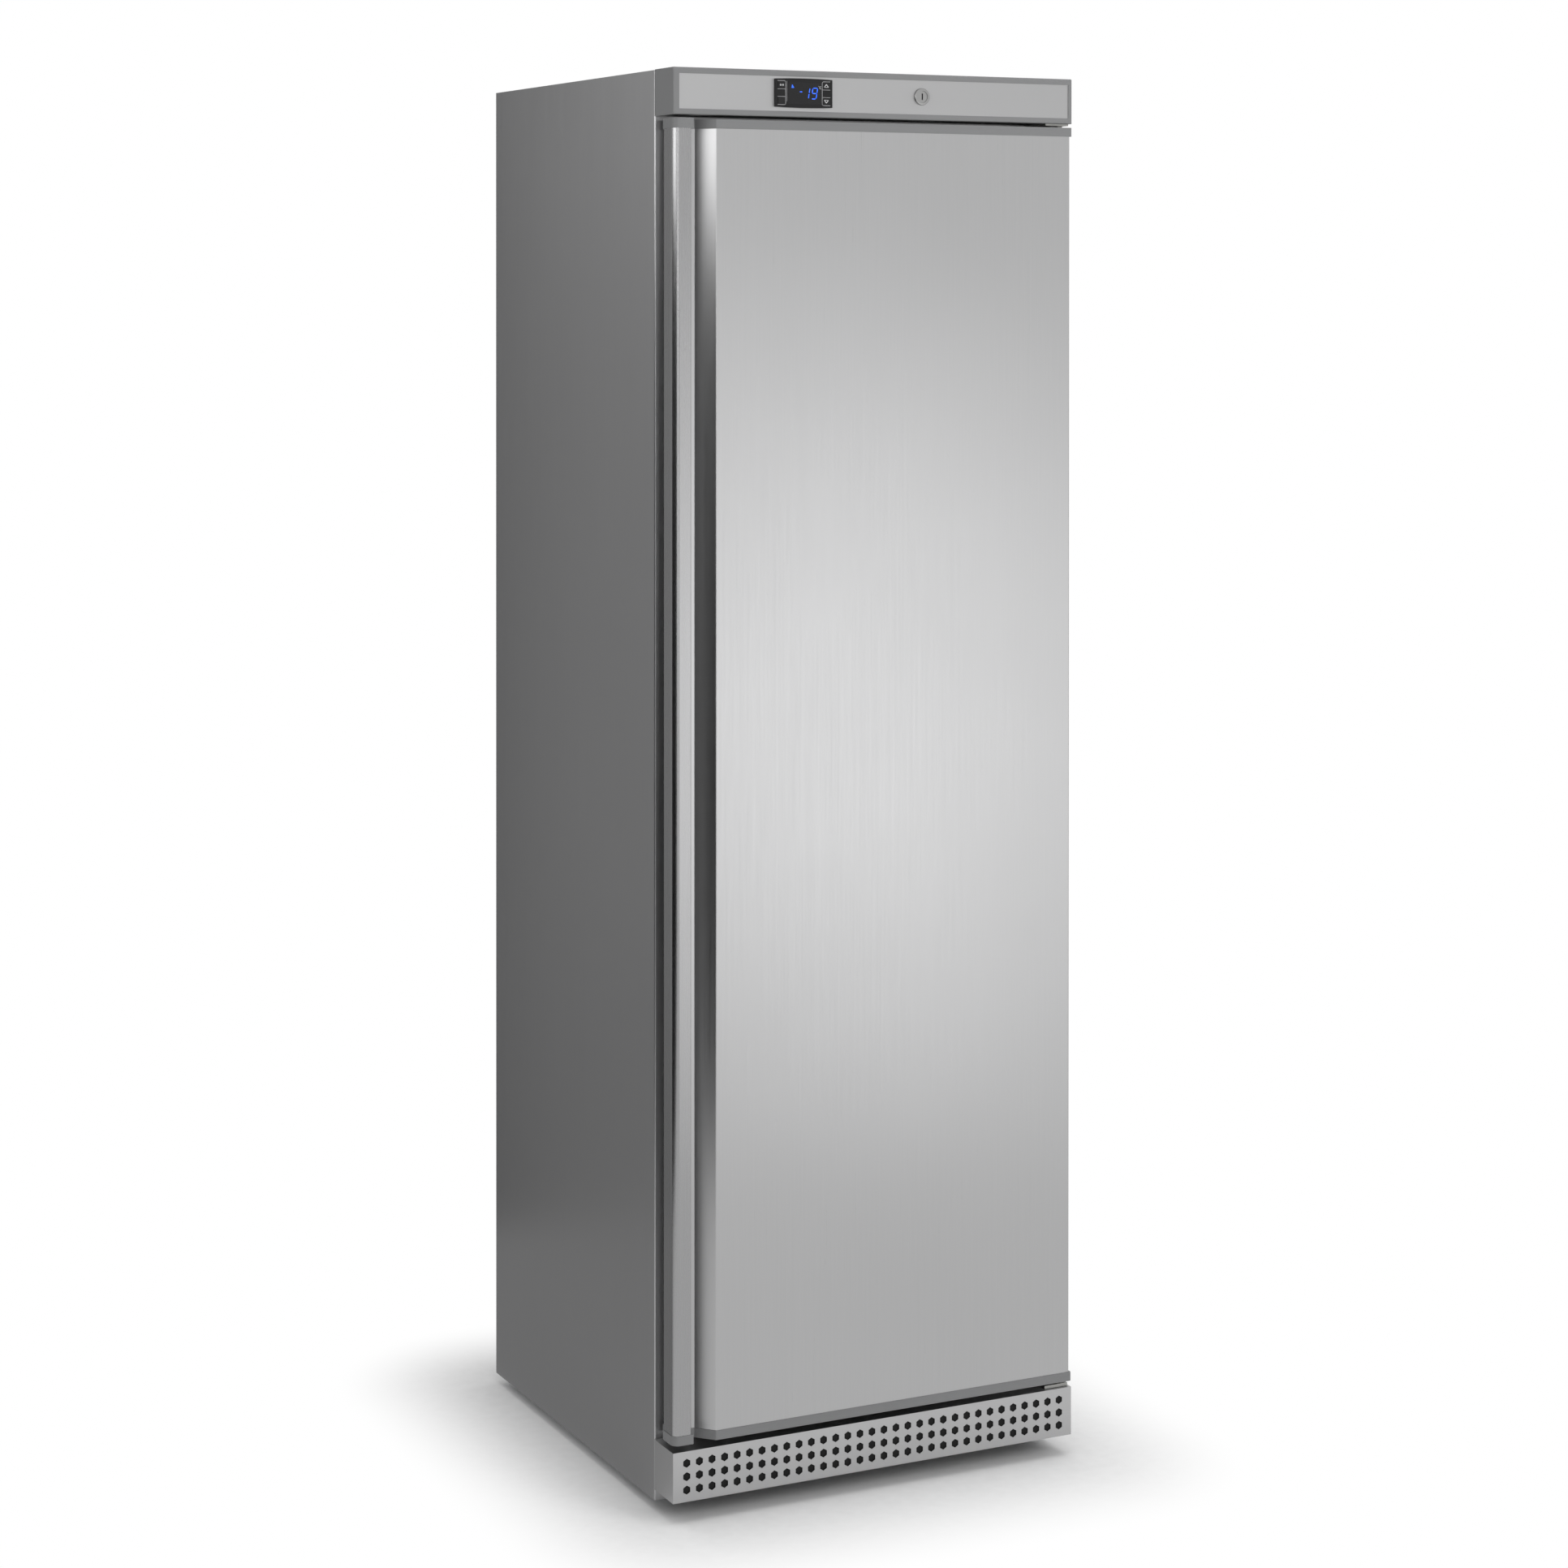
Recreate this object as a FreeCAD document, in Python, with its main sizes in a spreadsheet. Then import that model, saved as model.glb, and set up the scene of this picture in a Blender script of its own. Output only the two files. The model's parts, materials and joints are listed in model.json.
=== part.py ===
import FreeCAD, Part
import math
import operator
import os
import re
import Sketcher

# Upright single-door freezer in brushed steel, in millimetres.
# +X is to the right of someone facing the door, +Y to the rear, +Z up.
# The origin is on the floor, midway between the sides and between the door's face and the rear edges.

SIZES = [
    # outer body
    ("body_width", 600.0),
    ("body_depth", 585.0),
    ("body_height", 1850.0),
    ("ground_gap", 14.0),          # floor to the side panels' lower edge
    ("door_zone", 55.0),           # door's face to the cabinet's front flange
    ("sheet", 0.8),                # steel sheet
    ("bend", 2.0),                 # outer radius of a bent sheet
    ("flange_width", 60.0),        # side panel's front return
    ("rear_fold", 15.0),
    # insulated box, heights from the side panels' lower edge
    ("skirt_height", 85.0),        # underside of the insulated floor
    ("opening_low", 135.0),
    ("roof", 115.0),               # top of the cavity below the cabinet's top
    ("rear_insulation", 50.2),
    ("liner_wall", 2.0),
    ("rear_recess", 37.0),         # back panel to the side panels' rear edges
    ("back_flange", 12.0),
    ("bay_depth", 220.0),          # compressor bay, from the rear edges
    ("bay_height", 270.0),
    ("bay_insulation", 50.0),
    # evaporator shelves
    ("shelf_count", 5),
    ("shelf_low", 390.0),
    ("shelf_pitch", 262.0),
    ("shelf_runs", 5),
    ("shelf_front_gap", 44.0),     # flange to the first run
    ("shelf_rear_gap", 46.8),      # last run to the cavity's rear wall
    ("coil_tube", 4.0),            # outer radius of the evaporator tube
    ("coil_corner", 16.0),
    ("coil_side_gap", 16.0),       # liner wall to the side run
    ("turn_gap", 14.0),            # side run to the half turns beside it
    ("wire_radius", 1.6),
    ("wire_count", 12),
    ("wire_overhang", 10.0),
    ("clip_width", 14.0),
    ("clip_wall", 3.0),
    ("probe_radius", 3.0),
    ("probe_length", 32.0),
    ("probe_drop", 175.0),         # below the cavity's ceiling
    ("probe_depth", 380.0),
    # header
    ("header_height", 60.6),
    ("header_rise", 1.0),          # header's top above the cabinet's
    ("header_wall", 2.5),
    ("header_round", 1.6),
    ("arm_play", 0.3),             # header's side wall to the hinge bracket
    ("notch_play", 0.6),           # room round the brackets in the header and grille
    ("fascia_left", 8.5),
    ("fascia_right", 6.0),
    ("fascia_low", 7.5),
    ("fascia_high", 8.0),
    ("fascia_setback", 0.8),
    ("fascia_sheet", 1.5),
    # controller, from the header's lower left corner
    ("control_left", 145.5),
    ("control_low", 13.0),
    ("control_width", 84.0),
    ("control_height", 36.2),
    ("control_bow", 1.0),
    ("control_proud", 2.6),
    ("control_body_width", 70.0),
    ("control_body_height", 28.0),
    ("control_body_depth", 48.0),
    ("window_inset", 18.0),
    ("window_width", 50.4),
    ("window_border", 3.4),
    ("window_glass", 1.2),
    ("window_proud", 0.2),
    ("button_width", 10.4),
    ("button_height", 9.4),
    ("button_inset", 4.0),
    ("button_border", 3.4),
    ("button_gap", 0.2),
    ("button_deep", 2.6),
    ("button_proud", 0.5),
    ("button_travel", 0.6),
    ("button_spare", 0.1),
    # lock
    ("lock_x", 65.3),
    ("lock_height", 31.0),         # axis above the header's lower edge
    ("lock_flange", 11.2),
    ("lock_proud", 3.2),
    ("lock_tube", 9.6),
    ("lock_length", 16.0),
    ("lock_plug", 7.6),
    ("lock_play", 0.05),
    ("plug_setback", 0.8),
    ("keyhole_width", 1.8),
    ("keyhole_length", 8.6),
    ("keyhole_depth", 9.0),
    ("cam_reach", 43.0),
    ("cam_width", 12.0),
    ("cam_sheet", 3.0),
    ("cam_gap", 1.0),              # behind the lock's tube
    ("cam_play", 3.0),             # room round the cam in its slots
    ("strike_wall", 1.0),
    ("strike_deep", 9.0),
    # door
    ("head_gap", 5.2),
    ("door_low", 87.5),
    ("door_thick", 50.0),
    ("door_edge", 3.3),            # skin's right edge inside the cabinet's side
    ("door_inset", 11.0),          # skin's left side inside the cabinet's side
    ("door_bend", 2.2),
    ("cap_height", 12.0),
    ("cap_edge", 0.7),             # caps' right edge inside the cabinet's side
    ("cap_proud", 0.8),
    ("cap_round", 1.6),
    ("handle_cap_step", 1.0),
    ("chamfer_start", 61.4),
    ("recess_deep", 20.9),
    ("handle_face", 26.0),         # cabinet's side to the grip's free edge
    ("handle_deep", 30.0),
    ("handle_wall", 1.6),
    ("handle_round", 8.5),
    ("handle_lip", 4.5),
    ("handle_foot", 14.0),
    ("handle_cap_reach", 3.4),
    ("door_liner_wall", 2.0),
    ("dyke_edge", 25.0),           # clear space round the raised door liner
    ("dyke_deep", 22.0),
    ("dyke_taper", 10.0),
    ("gasket_width", 18.0),
    ("gasket_edge", 15.0),         # cabinet's side to the gasket
    ("gasket_end", 11.0),          # door's end to the gasket
    ("gasket_gap", 0.4),
    # hinges
    ("pivot_edge", 13.0),          # cabinet's side to the hinge axis
    ("pivot_deep", 15.0),
    ("hinge_pin", 4.0),
    ("hinge_play", 0.05),
    ("hinge_bush", 7.0),
    ("bush_length", 11.5),
    ("hinge_collar", 6.5),
    ("collar_play", 0.3),
    ("pin_end_play", 0.5),
    ("arm_width", 36.0),
    ("arm_tip", 10.0),             # hinge axis to the arm's front edge
    ("arm_bore_play", 0.02),
    ("top_arm_sheet", 2.6),
    ("low_arm_sheet", 4.0),
    ("low_arm_gap", 0.5),          # above the grille
    ("hinge_flange", 3.0),
    ("hinge_drop", 44.0),
    ("hinge_screw_first", 17.6),   # arm to the first screw of each flange
    ("hinge_screw_pitch", 17.6),
    ("screw_head", 4.5),
    ("screw_head_high", 2.4),
    # kick grille
    ("grille_low", 14.3),
    ("grille_height", 64.7),
    ("grille_sheet", 1.2),
    ("hole_width", 10.0),          # across the hexagon's flats
    ("hole_pitch", 18.1),
    ("hole_row_pitch", 17.2),
    ("hole_columns", 32),
    ("hole_rows", 3),
    ("hole_row_low", 15.2),        # lowest row above the grille's lower edge
    # base
    ("rail_width", 60.0),
    ("rail_height", 22.0),
    ("rail_sheet", 1.5),
    ("rail_start", 62.0),
    ("rail_end", 7.0),             # before the rear edges
    ("foot_y", 112.0),
    ("foot_pad", 14.0),
    ("foot_pad_high", 8.0),
    ("foot_stud", 5.0),
    ("foot_stud_long", 36.0),
    ("foot_hole_play", 0.8),
    ("thread_play", 0.05),
    ("nut_flats", 17.0),
    ("nut_high", 8.0),
    ("roller_rear", 40.0),         # axle before the rear edges
    ("roller_radius", 20.0),
    ("roller_width", 16.0),
    ("roller_slot_gap", 3.0),
    ("axle_radius", 3.0),
    ("axle_play", 0.05),
    # compressor
    ("plate_seat", 15.8),          # plate's hold on each base rail
    ("plate_gap", 7.0),            # bay's front wall to the plate
    ("plate_end", 5.0),
    ("plate_sheet", 2.0),
    ("plate_lip", 14.0),
    ("compressor_x", -60.0),
    ("compressor_rear", 111.0),    # axis before the rear edges
    ("shell_length", 196.0),
    ("shell_width", 140.0),
    ("shell_height", 158.0),
    ("shell_round", 32.0),
    ("shell_rim", 9.6),            # second bevel of the dome
    ("shell_low_bevel", 17.6),
    ("seam_height", 88.0),
    ("seam_proud", 3.0),
    ("seam_thick", 4.0),
    ("leg_spread_x", 84.0),
    ("leg_spread_y", 62.0),
    ("leg_border", 14.0),
    ("leg_sheet", 2.5),
    ("grommet_radius", 11.0),
    ("grommet_high", 14.0),
    ("bolt_radius", 4.0),
    ("bolt_play", 0.1),
    ("bolt_head", 7.0),
    ("bolt_head_high", 4.0),
    ("relay_width", 58.0),
    ("relay_deep", 66.0),
    ("relay_high", 74.0),
    ("relay_reach", 34.0),
    # refrigerant lines and condenser
    ("condenser_edge", 65.0),      # cabinet's side to the coil's bends
    ("condenser_low", 360.0),
    ("condenser_pitch", 104.0),
    ("condenser_runs", 12),
    ("condenser_tube", 2.6),
    ("condenser_gap", 17.0),       # back panel to the coil's axis
    ("condenser_wire", 1.6),
    ("condenser_wires", 18),
    ("condenser_overhang", 12.0),
    ("standoff_width", 18.0),
    ("standoff_high", 22.0),
    ("standoff_inset", 30.0),
    ("line_bend", 14.0),
    ("discharge_inset", 48.0),     # shell's end to the discharge line
    ("discharge_rise", 33.6),      # shell's top to the line's level run
    ("suction_rise", 33.6),
    ("liquid_rise", 50.4),         # above the discharge line, which it crosses
    ("liquid_reach", 22.4),        # beyond the coil's straight runs
    ("line_radius", 3.0),
    ("suction_radius", 7.0),
    ("suction_bend", 24.0),
    ("drier_radius", 12.7),
    ("drier_length", 86.0),
    ("drier_neck", 14.0),
    ("drier_x", 120.0),
    ("drier_lift", 57.0),          # above the mounting plate
    ("drier_bevel", 7.0),
    ("drier_play", 0.3),           # from the bay's front wall
    # mains terminal box
    ("terminal_edge", 13.0),       # inside the mounting plate's end
    ("terminal_width", 72.0),
    ("terminal_deep", 46.0),
    ("terminal_high", 58.0),
    ("terminal_end", 29.0),        # before the rear edges
    ("gland_radius", 10.0),
    ("gland_bore", 4.4),
    ("gland_length", 16.0),
    ("gland_nut_length", 6.4),
    ("gland_neck_radius", 8.0),
    ("gland_seat", 3.2),           # bore's blind end, from the box
    ("gland_height", 34.8),        # above the mounting plate
]

doc = FreeCAD.newDocument("UprightFreezer")
sheet_object = doc.addObject("Spreadsheet::Sheet", "Sizes")
for row, (alias, number) in enumerate(SIZES, start=1):
    sheet_object.set("A%d" % row, alias)
    sheet_object.set("B%d" % row, "%g" % number)
    sheet_object.setAlias("B%d" % row, alias)
doc.recompute()

OPERATIONS = {"+": operator.add, "-": operator.sub, "*": operator.mul, "/": operator.truediv}


class Size:
    """A number together with the sheet expression that gives it."""

    def __init__(self, value, text):
        self.value = value
        self.text = text

    def __add__(self, other):
        return combined(self, "+", other)

    def __radd__(self, other):
        return combined(other, "+", self)

    def __sub__(self, other):
        return combined(self, "-", other)

    def __rsub__(self, other):
        return combined(other, "-", self)

    def __mul__(self, other):
        return combined(self, "*", other)

    def __rmul__(self, other):
        return combined(other, "*", self)

    def __truediv__(self, other):
        return combined(self, "/", other)

    def __neg__(self):
        return combined(0, "-", self)


def as_size(number):
    if isinstance(number, Size):
        return number
    return Size(float(number), "(%.9g)" % number)


def combined(left, sign, right):
    left = as_size(left)
    right = as_size(right)
    value = OPERATIONS[sign](left.value, right.value)
    return Size(value, "(%s %s %s)" % (left.text, sign, right.text))


class Sheet:
    """Gives each alias of the sheet as a Size."""

    def __init__(self, sizes):
        for alias, number in sizes:
            setattr(self, alias, Size(number, "Sizes." + alias))


d = Sheet(SIZES)

# --- shared places -----------------------------------------------------------

LEFT = -d.body_width / 2
RIGHT = d.body_width / 2
FRONT = -d.body_depth / 2
REAR = d.body_depth / 2
LOW = d.ground_gap
TOP = LOW + d.body_height
FLANGE = FRONT + d.door_zone
INSIDE = RIGHT - d.sheet                       # side panel's inner face
CAVITY_HALF = RIGHT - d.flange_width
BACK = REAR - d.rear_recess                    # back panel's outer face
CAVITY_REAR = BACK - d.rear_insulation
CAVITY_LOW = LOW + d.opening_low
CAVITY_HIGH = TOP - d.roof
BAY_Y = REAR - d.bay_depth
BAY_Z = LOW + d.bay_height
HUMP_Y = BAY_Y - d.bay_insulation
HUMP_Z = BAY_Z + d.bay_insulation
SKIRT = LOW + d.skirt_height
HEADER_LOW = TOP + d.header_rise - d.header_height
HEADER_TOP = TOP + d.header_rise
DOOR_LOW = LOW + d.door_low
DOOR_TOP = HEADER_LOW - d.head_gap
PANEL_LOW = DOOR_LOW + d.cap_height
PANEL_TOP = DOOR_TOP - d.cap_height
DOOR_BACK = FRONT + d.door_thick
PIVOT_X = RIGHT - d.pivot_edge
PIVOT_Y = FRONT + d.pivot_deep
GRILLE_LOW = LOW + d.grille_low
GRILLE_TOP = GRILLE_LOW + d.grille_height
LOCK_Z = HEADER_LOW + d.lock_height
FASCIA_Y = FRONT + d.fascia_setback

# --- building blocks ---------------------------------------------------------

NODES = []


def node(made, label):
    """Names a finished sub-part."""
    made.Label = label
    NODES.append(made)
    return made


def bind(made, path, number):
    made.setExpression(path, as_size(number).text)


def new(kind, name):
    return doc.addObject(kind, name)


def box(name, x, y, z):
    """A box from three (low, high) pairs."""
    made = new("Part::Box", name)
    for path, (low, high) in (("Length", x), ("Width", y), ("Height", z)):
        bind(made, path, high - low)
    for axis, (low, high) in (("x", x), ("y", y), ("z", z)):
        bind(made, "Placement.Base." + axis, low)
    return made


TURNS = {
    "x": FreeCAD.Rotation(FreeCAD.Vector(0, 1, 0), 90),
    "y": FreeCAD.Rotation(FreeCAD.Vector(1, 0, 0), -90),
    "z": FreeCAD.Rotation(),
}


def placed(made, base, axis):
    """Stands a primitive at base with its height along axis."""
    made.Placement = FreeCAD.Placement(FreeCAD.Vector(), TURNS[axis])
    for letter, number in zip("xyz", base):
        bind(made, "Placement.Base." + letter, number)
    return made


def cylinder(name, base, axis, radius, height):
    made = new("Part::Cylinder", name)
    bind(made, "Radius", radius)
    bind(made, "Height", height)
    return placed(made, base, axis)


def prism(name, base, axis, sides, across_corners, height):
    """A regular prism whose corners lie on a circle of radius across_corners."""
    made = new("Part::Prism", name)
    made.Polygon = sides
    bind(made, "Circumradius", across_corners)
    bind(made, "Height", height)
    return placed(made, base, axis)


def fuse(name, parts):
    made = new("Part::MultiFuse", name)
    made.Shapes = parts
    made.Refine = True
    return made


def cut(name, base, tools):
    made = new("Part::Cut", name)
    made.Base = base
    made.Tool = tools[0] if len(tools) == 1 else fuse(name + "_tools", tools)
    made.Refine = True
    return made


def group(name, parts):
    """Separate solids kept in one sub-part."""
    made = new("Part::Compound", name)
    made.Links = parts
    return made


def body(name):
    return new("PartDesign::Body", name)


def sketch(owner, plane, offset, name):
    """A sketch on one of its body's origin planes, moved along the plane's normal."""
    made = owner.newObject("Sketcher::SketchObject", name)
    support = [item for item in owner.Origin.OriginFeatures if item.Role == plane][0]
    made.AttachmentSupport = [(support, "")]
    made.MapMode = "FlatFace"
    bind(made, "AttachmentOffset.Base.z", offset)
    return made


def vector(across, along):
    return FreeCAD.Vector(as_size(across).value, as_size(along).value, 0)


def pin(drawing, geometry, end, across, along):
    """Holds one end of a line or arc, or its centre, at a place given by the sheet."""
    for kind, number in (("DistanceX", across), ("DistanceY", along)):
        if number is None:
            continue
        value = as_size(number).value
        index = drawing.addConstraint(Sketcher.Constraint(kind, -1, 1, geometry, end, value))
        drawing.setExpression("Constraints[%d]" % index, as_size(number).text)


def polygon(drawing, points):
    """A closed outline of straight lines."""
    first = drawing.GeometryCount
    corners = [vector(*point) for point in points]
    lines = [Part.LineSegment(a, b) for a, b in zip(corners, corners[1:] + corners[:1])]
    drawing.addGeometry(lines, False)
    count = len(points)
    joins = [
        Sketcher.Constraint("Coincident", first + i, 2, first + (i + 1) % count, 1) for i in range(count)
    ]
    drawing.addConstraint(joins)
    for i, point in enumerate(points):
        pin(drawing, first + i, 1, *point)


def regular(radius, sides, centre, shift=0.5):
    """The corners of a regular polygon round a centre, turned by a share of one side's angle."""
    across, along = centre
    points = []
    for i in range(sides):
        turn = 2 * math.pi * (i + shift) / sides
        points.append((across + radius * math.cos(turn), along + radius * math.sin(turn)))
    return points


def pad(owner, drawing, length, name):
    """Thickens a sketch: along +X, +Y or +Z, whichever its plane faces."""
    made = owner.newObject("PartDesign::Pad", name)
    made.Profile = drawing
    bind(made, "Length", length)
    made.Reversed = drawing.AttachmentSupport[0][0].Role == "XZ_Plane"
    return made


def extruded(name, plane, points, start, end):
    """A body whose outline runs from start to end across its plane."""
    owner = body(name)
    offset = -start if plane == "XZ_Plane" else start
    drawing = sketch(owner, plane, offset, name + "_outline")
    polygon(drawing, points)
    pad(owner, drawing, end - start, name + "_pad")
    return owner


AXES = {"x": (1, 2), "y": (0, 2), "z": (0, 1)}


def fillet(owner, axis, corners, radius):
    """Rounds the body's edges that run along axis through the given corners."""
    doc.recompute()
    base = owner.Tip
    wanted = [tuple(as_size(number).value for number in corner) for corner in corners]
    first, second = AXES[axis]
    names = []
    for i, edge in enumerate(base.Shape.Edges, start=1):
        ends = [vertex.Point for vertex in edge.Vertexes]
        for place in wanted:
            if len(ends) == 2 and all(math.dist((end[first], end[second]), place) < 1e-4 for end in ends):
                names.append("Edge%d" % i)
    made = owner.newObject("PartDesign::Fillet", base.Name + "_round")
    made.Base = (base, names)
    bind(made, "Radius", radius)
    return owner


def piped(owner, path, profile, name):
    made = owner.newObject("PartDesign::AdditivePipe", name)
    made.Profile = profile
    made.Spine = path
    made.Transition = "Right corner"
    return made


TURN_CHORDS = 4                # straight pieces in a half turn of a tube
TUBE_SIDES = 6                 # few flats, because the tubes are long
TUBE_FLAT = math.cos(math.pi / TUBE_SIDES)
OVER = 1                       # how far a cutting tool runs past the face that it cuts
EDGE_SHARE = 0.9               # rounding of a sheet's edge, as a share of its wall


def turn_points(centre, radius, start, sweep, chords):
    """Points along a bend, from just after its start up to its end."""
    across, along = centre
    points = []
    for i in range(1, chords + 1):
        angle = start + sweep * i / chords
        points.append((across + radius * math.cos(angle), along + radius * math.sin(angle)))
    return points


def serpentine(low, high, first, pitch, runs):
    """Straight runs from low to high joined by half turns, as a row of points."""
    points = [(low, first)]
    for i in range(runs):
        to_right = i % 2 == 0
        end = high if to_right else low
        points.append((end, first + pitch * i))
        if i < runs - 1:
            sweep = math.pi if to_right else -math.pi
            centre = (end, first + pitch * (i + 0.5))
            points += turn_points(centre, pitch / 2, -math.pi / 2, sweep, TURN_CHORDS)
    return points


def spine(drawing, points):
    """An open row of straight lines."""
    corners = [vector(*point) for point in points]
    drawing.addGeometry([Part.LineSegment(a, b) for a, b in zip(corners, corners[1:])], False)
    count = len(points) - 1
    joins = [Sketcher.Constraint("Coincident", i, 2, i + 1, 1) for i in range(count - 1)]
    drawing.addConstraint(joins)
    for i, point in enumerate(points[:-1]):
        pin(drawing, i, 1, *point)
    pin(drawing, count - 1, 2, *points[-1])


def bent_tube(name, points, bend, radius, sides):
    """A tube along straight runs joined by chorded bends, with a many-sided section."""
    places = [FreeCAD.Vector(*[as_size(number).value for number in point]) for point in points]
    bend = as_size(bend).value
    row = [places[0]]
    for before, corner, after in zip(places, places[1:], places[2:]):
        back = (before - corner).normalize()
        ahead = (after - corner).normalize()
        half = back.getAngle(ahead) / 2
        reach = bend / math.tan(half)
        centre = corner + (back + ahead).normalize() * (bend / math.sin(half))
        enter = corner + back * reach - centre
        leave = corner + ahead * reach - centre
        turn = enter.getAngle(leave)
        for i in range(TURN_CHORDS // 2 + 1):
            share = turn * i / (TURN_CHORDS // 2)
            arm = enter * math.sin(turn - share) + leave * math.sin(share)
            row.append(centre + arm * (1 / math.sin(turn)))
    row.append(places[-1])
    path = Part.makePolygon(row)
    ring = Part.makeCircle(as_size(radius).value, places[0], places[1] - places[0])
    corners = [ring.valueAt(ring.LastParameter * i / sides) for i in range(sides)]
    section = Part.makePolygon(corners + corners[:1])
    made = new("Part::Feature", name)
    made.Shape = path.makePipeShell([section], True, False, 1)
    return made


# --- cabinet shell -----------------------------------------------------------


def side_panel(label, side):
    """One side sheet with its front return and rear fold; side is -1 on the left, 1 on the right."""
    outer = RIGHT * side
    inner = INSIDE * side
    points = [
        (outer, FLANGE),
        (outer, REAR),
        ((RIGHT - d.rear_fold) * side, REAR),
        ((RIGHT - d.rear_fold) * side, REAR - d.sheet),
        (inner, REAR - d.sheet),
        (inner, FLANGE + d.sheet),
        (CAVITY_HALF * side, FLANGE + d.sheet),
        (CAVITY_HALF * side, FLANGE),
    ]
    panel = extruded(label, "XY_Plane", points, LOW, TOP)
    fillet(panel, "z", [(inner, REAR - d.sheet), (inner, FLANGE + d.sheet)], d.bend - d.sheet)
    fillet(panel, "z", [(outer, REAR), (outer, FLANGE)], d.bend)
    return node(panel, label)


side_panel("side_panel_left", -1)
side_panel("side_panel_right", 1)

node(
    box("top_sheet", (-INSIDE, INSIDE), (FLANGE + d.sheet, BACK + d.back_flange), (TOP - d.sheet, TOP)),
    "top_panel",
)

node(
    extruded(
        "back_sheet",
        "XY_Plane",
        [
            (-INSIDE, BACK + d.back_flange),
            (-INSIDE, BACK - d.sheet),
            (INSIDE, BACK - d.sheet),
            (INSIDE, BACK + d.back_flange),
            (INSIDE - d.sheet, BACK + d.back_flange),
            (INSIDE - d.sheet, BACK),
            (-INSIDE + d.sheet, BACK),
            (-INSIDE + d.sheet, BACK + d.back_flange),
        ],
        BAY_Z,
        TOP - d.sheet,
    ),
    "back_panel",
)

node(
    extruded(
        "base_sheet",
        "YZ_Plane",
        [
            (FLANGE + d.sheet, SKIRT),
            (BAY_Y, SKIRT),
            (BAY_Y, BAY_Z),
            (BACK - d.sheet, BAY_Z),
            (BACK - d.sheet, BAY_Z + d.sheet),
            (BAY_Y - d.sheet, BAY_Z + d.sheet),
            (BAY_Y - d.sheet, SKIRT + d.sheet),
            (FLANGE + d.sheet, SKIRT + d.sheet),
        ],
        -INSIDE,
        INSIDE,
    ),
    "base_panel",
)

node(
    box("lintel", (-CAVITY_HALF, CAVITY_HALF), (FLANGE, FLANGE + d.sheet), (CAVITY_HIGH, TOP)),
    "front_frame_top",
)
node(
    box("sill", (-CAVITY_HALF, CAVITY_HALF), (FLANGE, FLANGE + d.sheet), (SKIRT, CAVITY_LOW)),
    "front_frame_bottom",
)


def cavity(name, half, grow):
    """The space for food, grown by the liner's wall where asked, with the step over the compressor bay."""
    points = [
        (FLANGE + d.sheet, CAVITY_LOW - grow),
        (HUMP_Y + grow, CAVITY_LOW - grow),
        (HUMP_Y + grow, HUMP_Z - grow),
        (CAVITY_REAR + grow, HUMP_Z - grow),
        (CAVITY_REAR + grow, CAVITY_HIGH + grow),
        (FLANGE + d.sheet, CAVITY_HIGH + grow),
    ]
    return extruded(name, "YZ_Plane", points, -half, half)


liner_outside = cavity("liner_outside", CAVITY_HALF + d.liner_wall, d.liner_wall)
node(cut("liner_shell", liner_outside, [cavity("liner_inside", CAVITY_HALF, 0)]), "inner_liner")

foam_block = extruded(
    "foam_block",
    "YZ_Plane",
    [
        (FLANGE + d.sheet, SKIRT + d.sheet),
        (BAY_Y - d.sheet, SKIRT + d.sheet),
        (BAY_Y - d.sheet, BAY_Z + d.sheet),
        (BACK - d.sheet, BAY_Z + d.sheet),
        (BACK - d.sheet, TOP - d.sheet),
        (FLANGE + d.sheet, TOP - d.sheet),
    ],
    -INSIDE,
    INSIDE,
)
foam_hollow = cavity("foam_hollow", CAVITY_HALF + d.liner_wall, d.liner_wall)
panel_bends = [
    box(
        "bend_room_%d" % side,
        (INSIDE * side - d.bend, INSIDE * side + d.bend),
        (FLANGE + d.sheet, FLANGE + d.bend),
        (LOW, TOP),
    )
    for side in (-1, 1)
]
node(cut("foam_shell", foam_block, [foam_hollow] + panel_bends), "cabinet_foam")

# --- evaporator shelves ------------------------------------------------------

COIL_SIDE = CAVITY_HALF - d.coil_side_gap                     # axis of the side runs
COIL_FIRST = FLANGE + d.shelf_front_gap
COIL_LAST = CAVITY_REAR - d.shelf_rear_gap
RUN_PITCH = (COIL_LAST - COIL_FIRST) / (d.shelf_runs.value - 1)
COIL_TURN = COIL_SIDE - d.turn_gap - RUN_PITCH / 2            # where the half turns begin


def shelf_coil(index):
    """One shelf's tube: a side run, the serpentine, and a second side run back to the rear wall."""
    height = LOW + d.shelf_low + d.shelf_pitch * index
    owner = body("shelf_coil_%d" % index)
    path = sketch(owner, "XY_Plane", height, "shelf_path_%d" % index)
    corner = d.coil_corner
    side = COIL_TURN + corner
    points = [(-COIL_SIDE, CAVITY_REAR), (-COIL_SIDE, COIL_FIRST + corner)]
    points += turn_points(
        (-COIL_SIDE + corner, COIL_FIRST + corner), corner, math.pi, math.pi / 2, TURN_CHORDS // 2
    )
    points += serpentine(-COIL_TURN, COIL_TURN, COIL_FIRST, RUN_PITCH, d.shelf_runs.value)
    points += turn_points(
        (COIL_TURN, COIL_LAST + corner), corner, -math.pi / 2, math.pi / 2, TURN_CHORDS // 2
    )
    points.append((side, CAVITY_REAR))
    spine(path, points)
    section = sketch(owner, "XZ_Plane", -CAVITY_REAR, "shelf_section_%d" % index)
    polygon(section, regular(d.coil_tube, TUBE_SIDES, (-COIL_SIDE, height), 0))
    piped(owner, path, section, "shelf_tube_%d" % index)
    return owner


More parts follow.
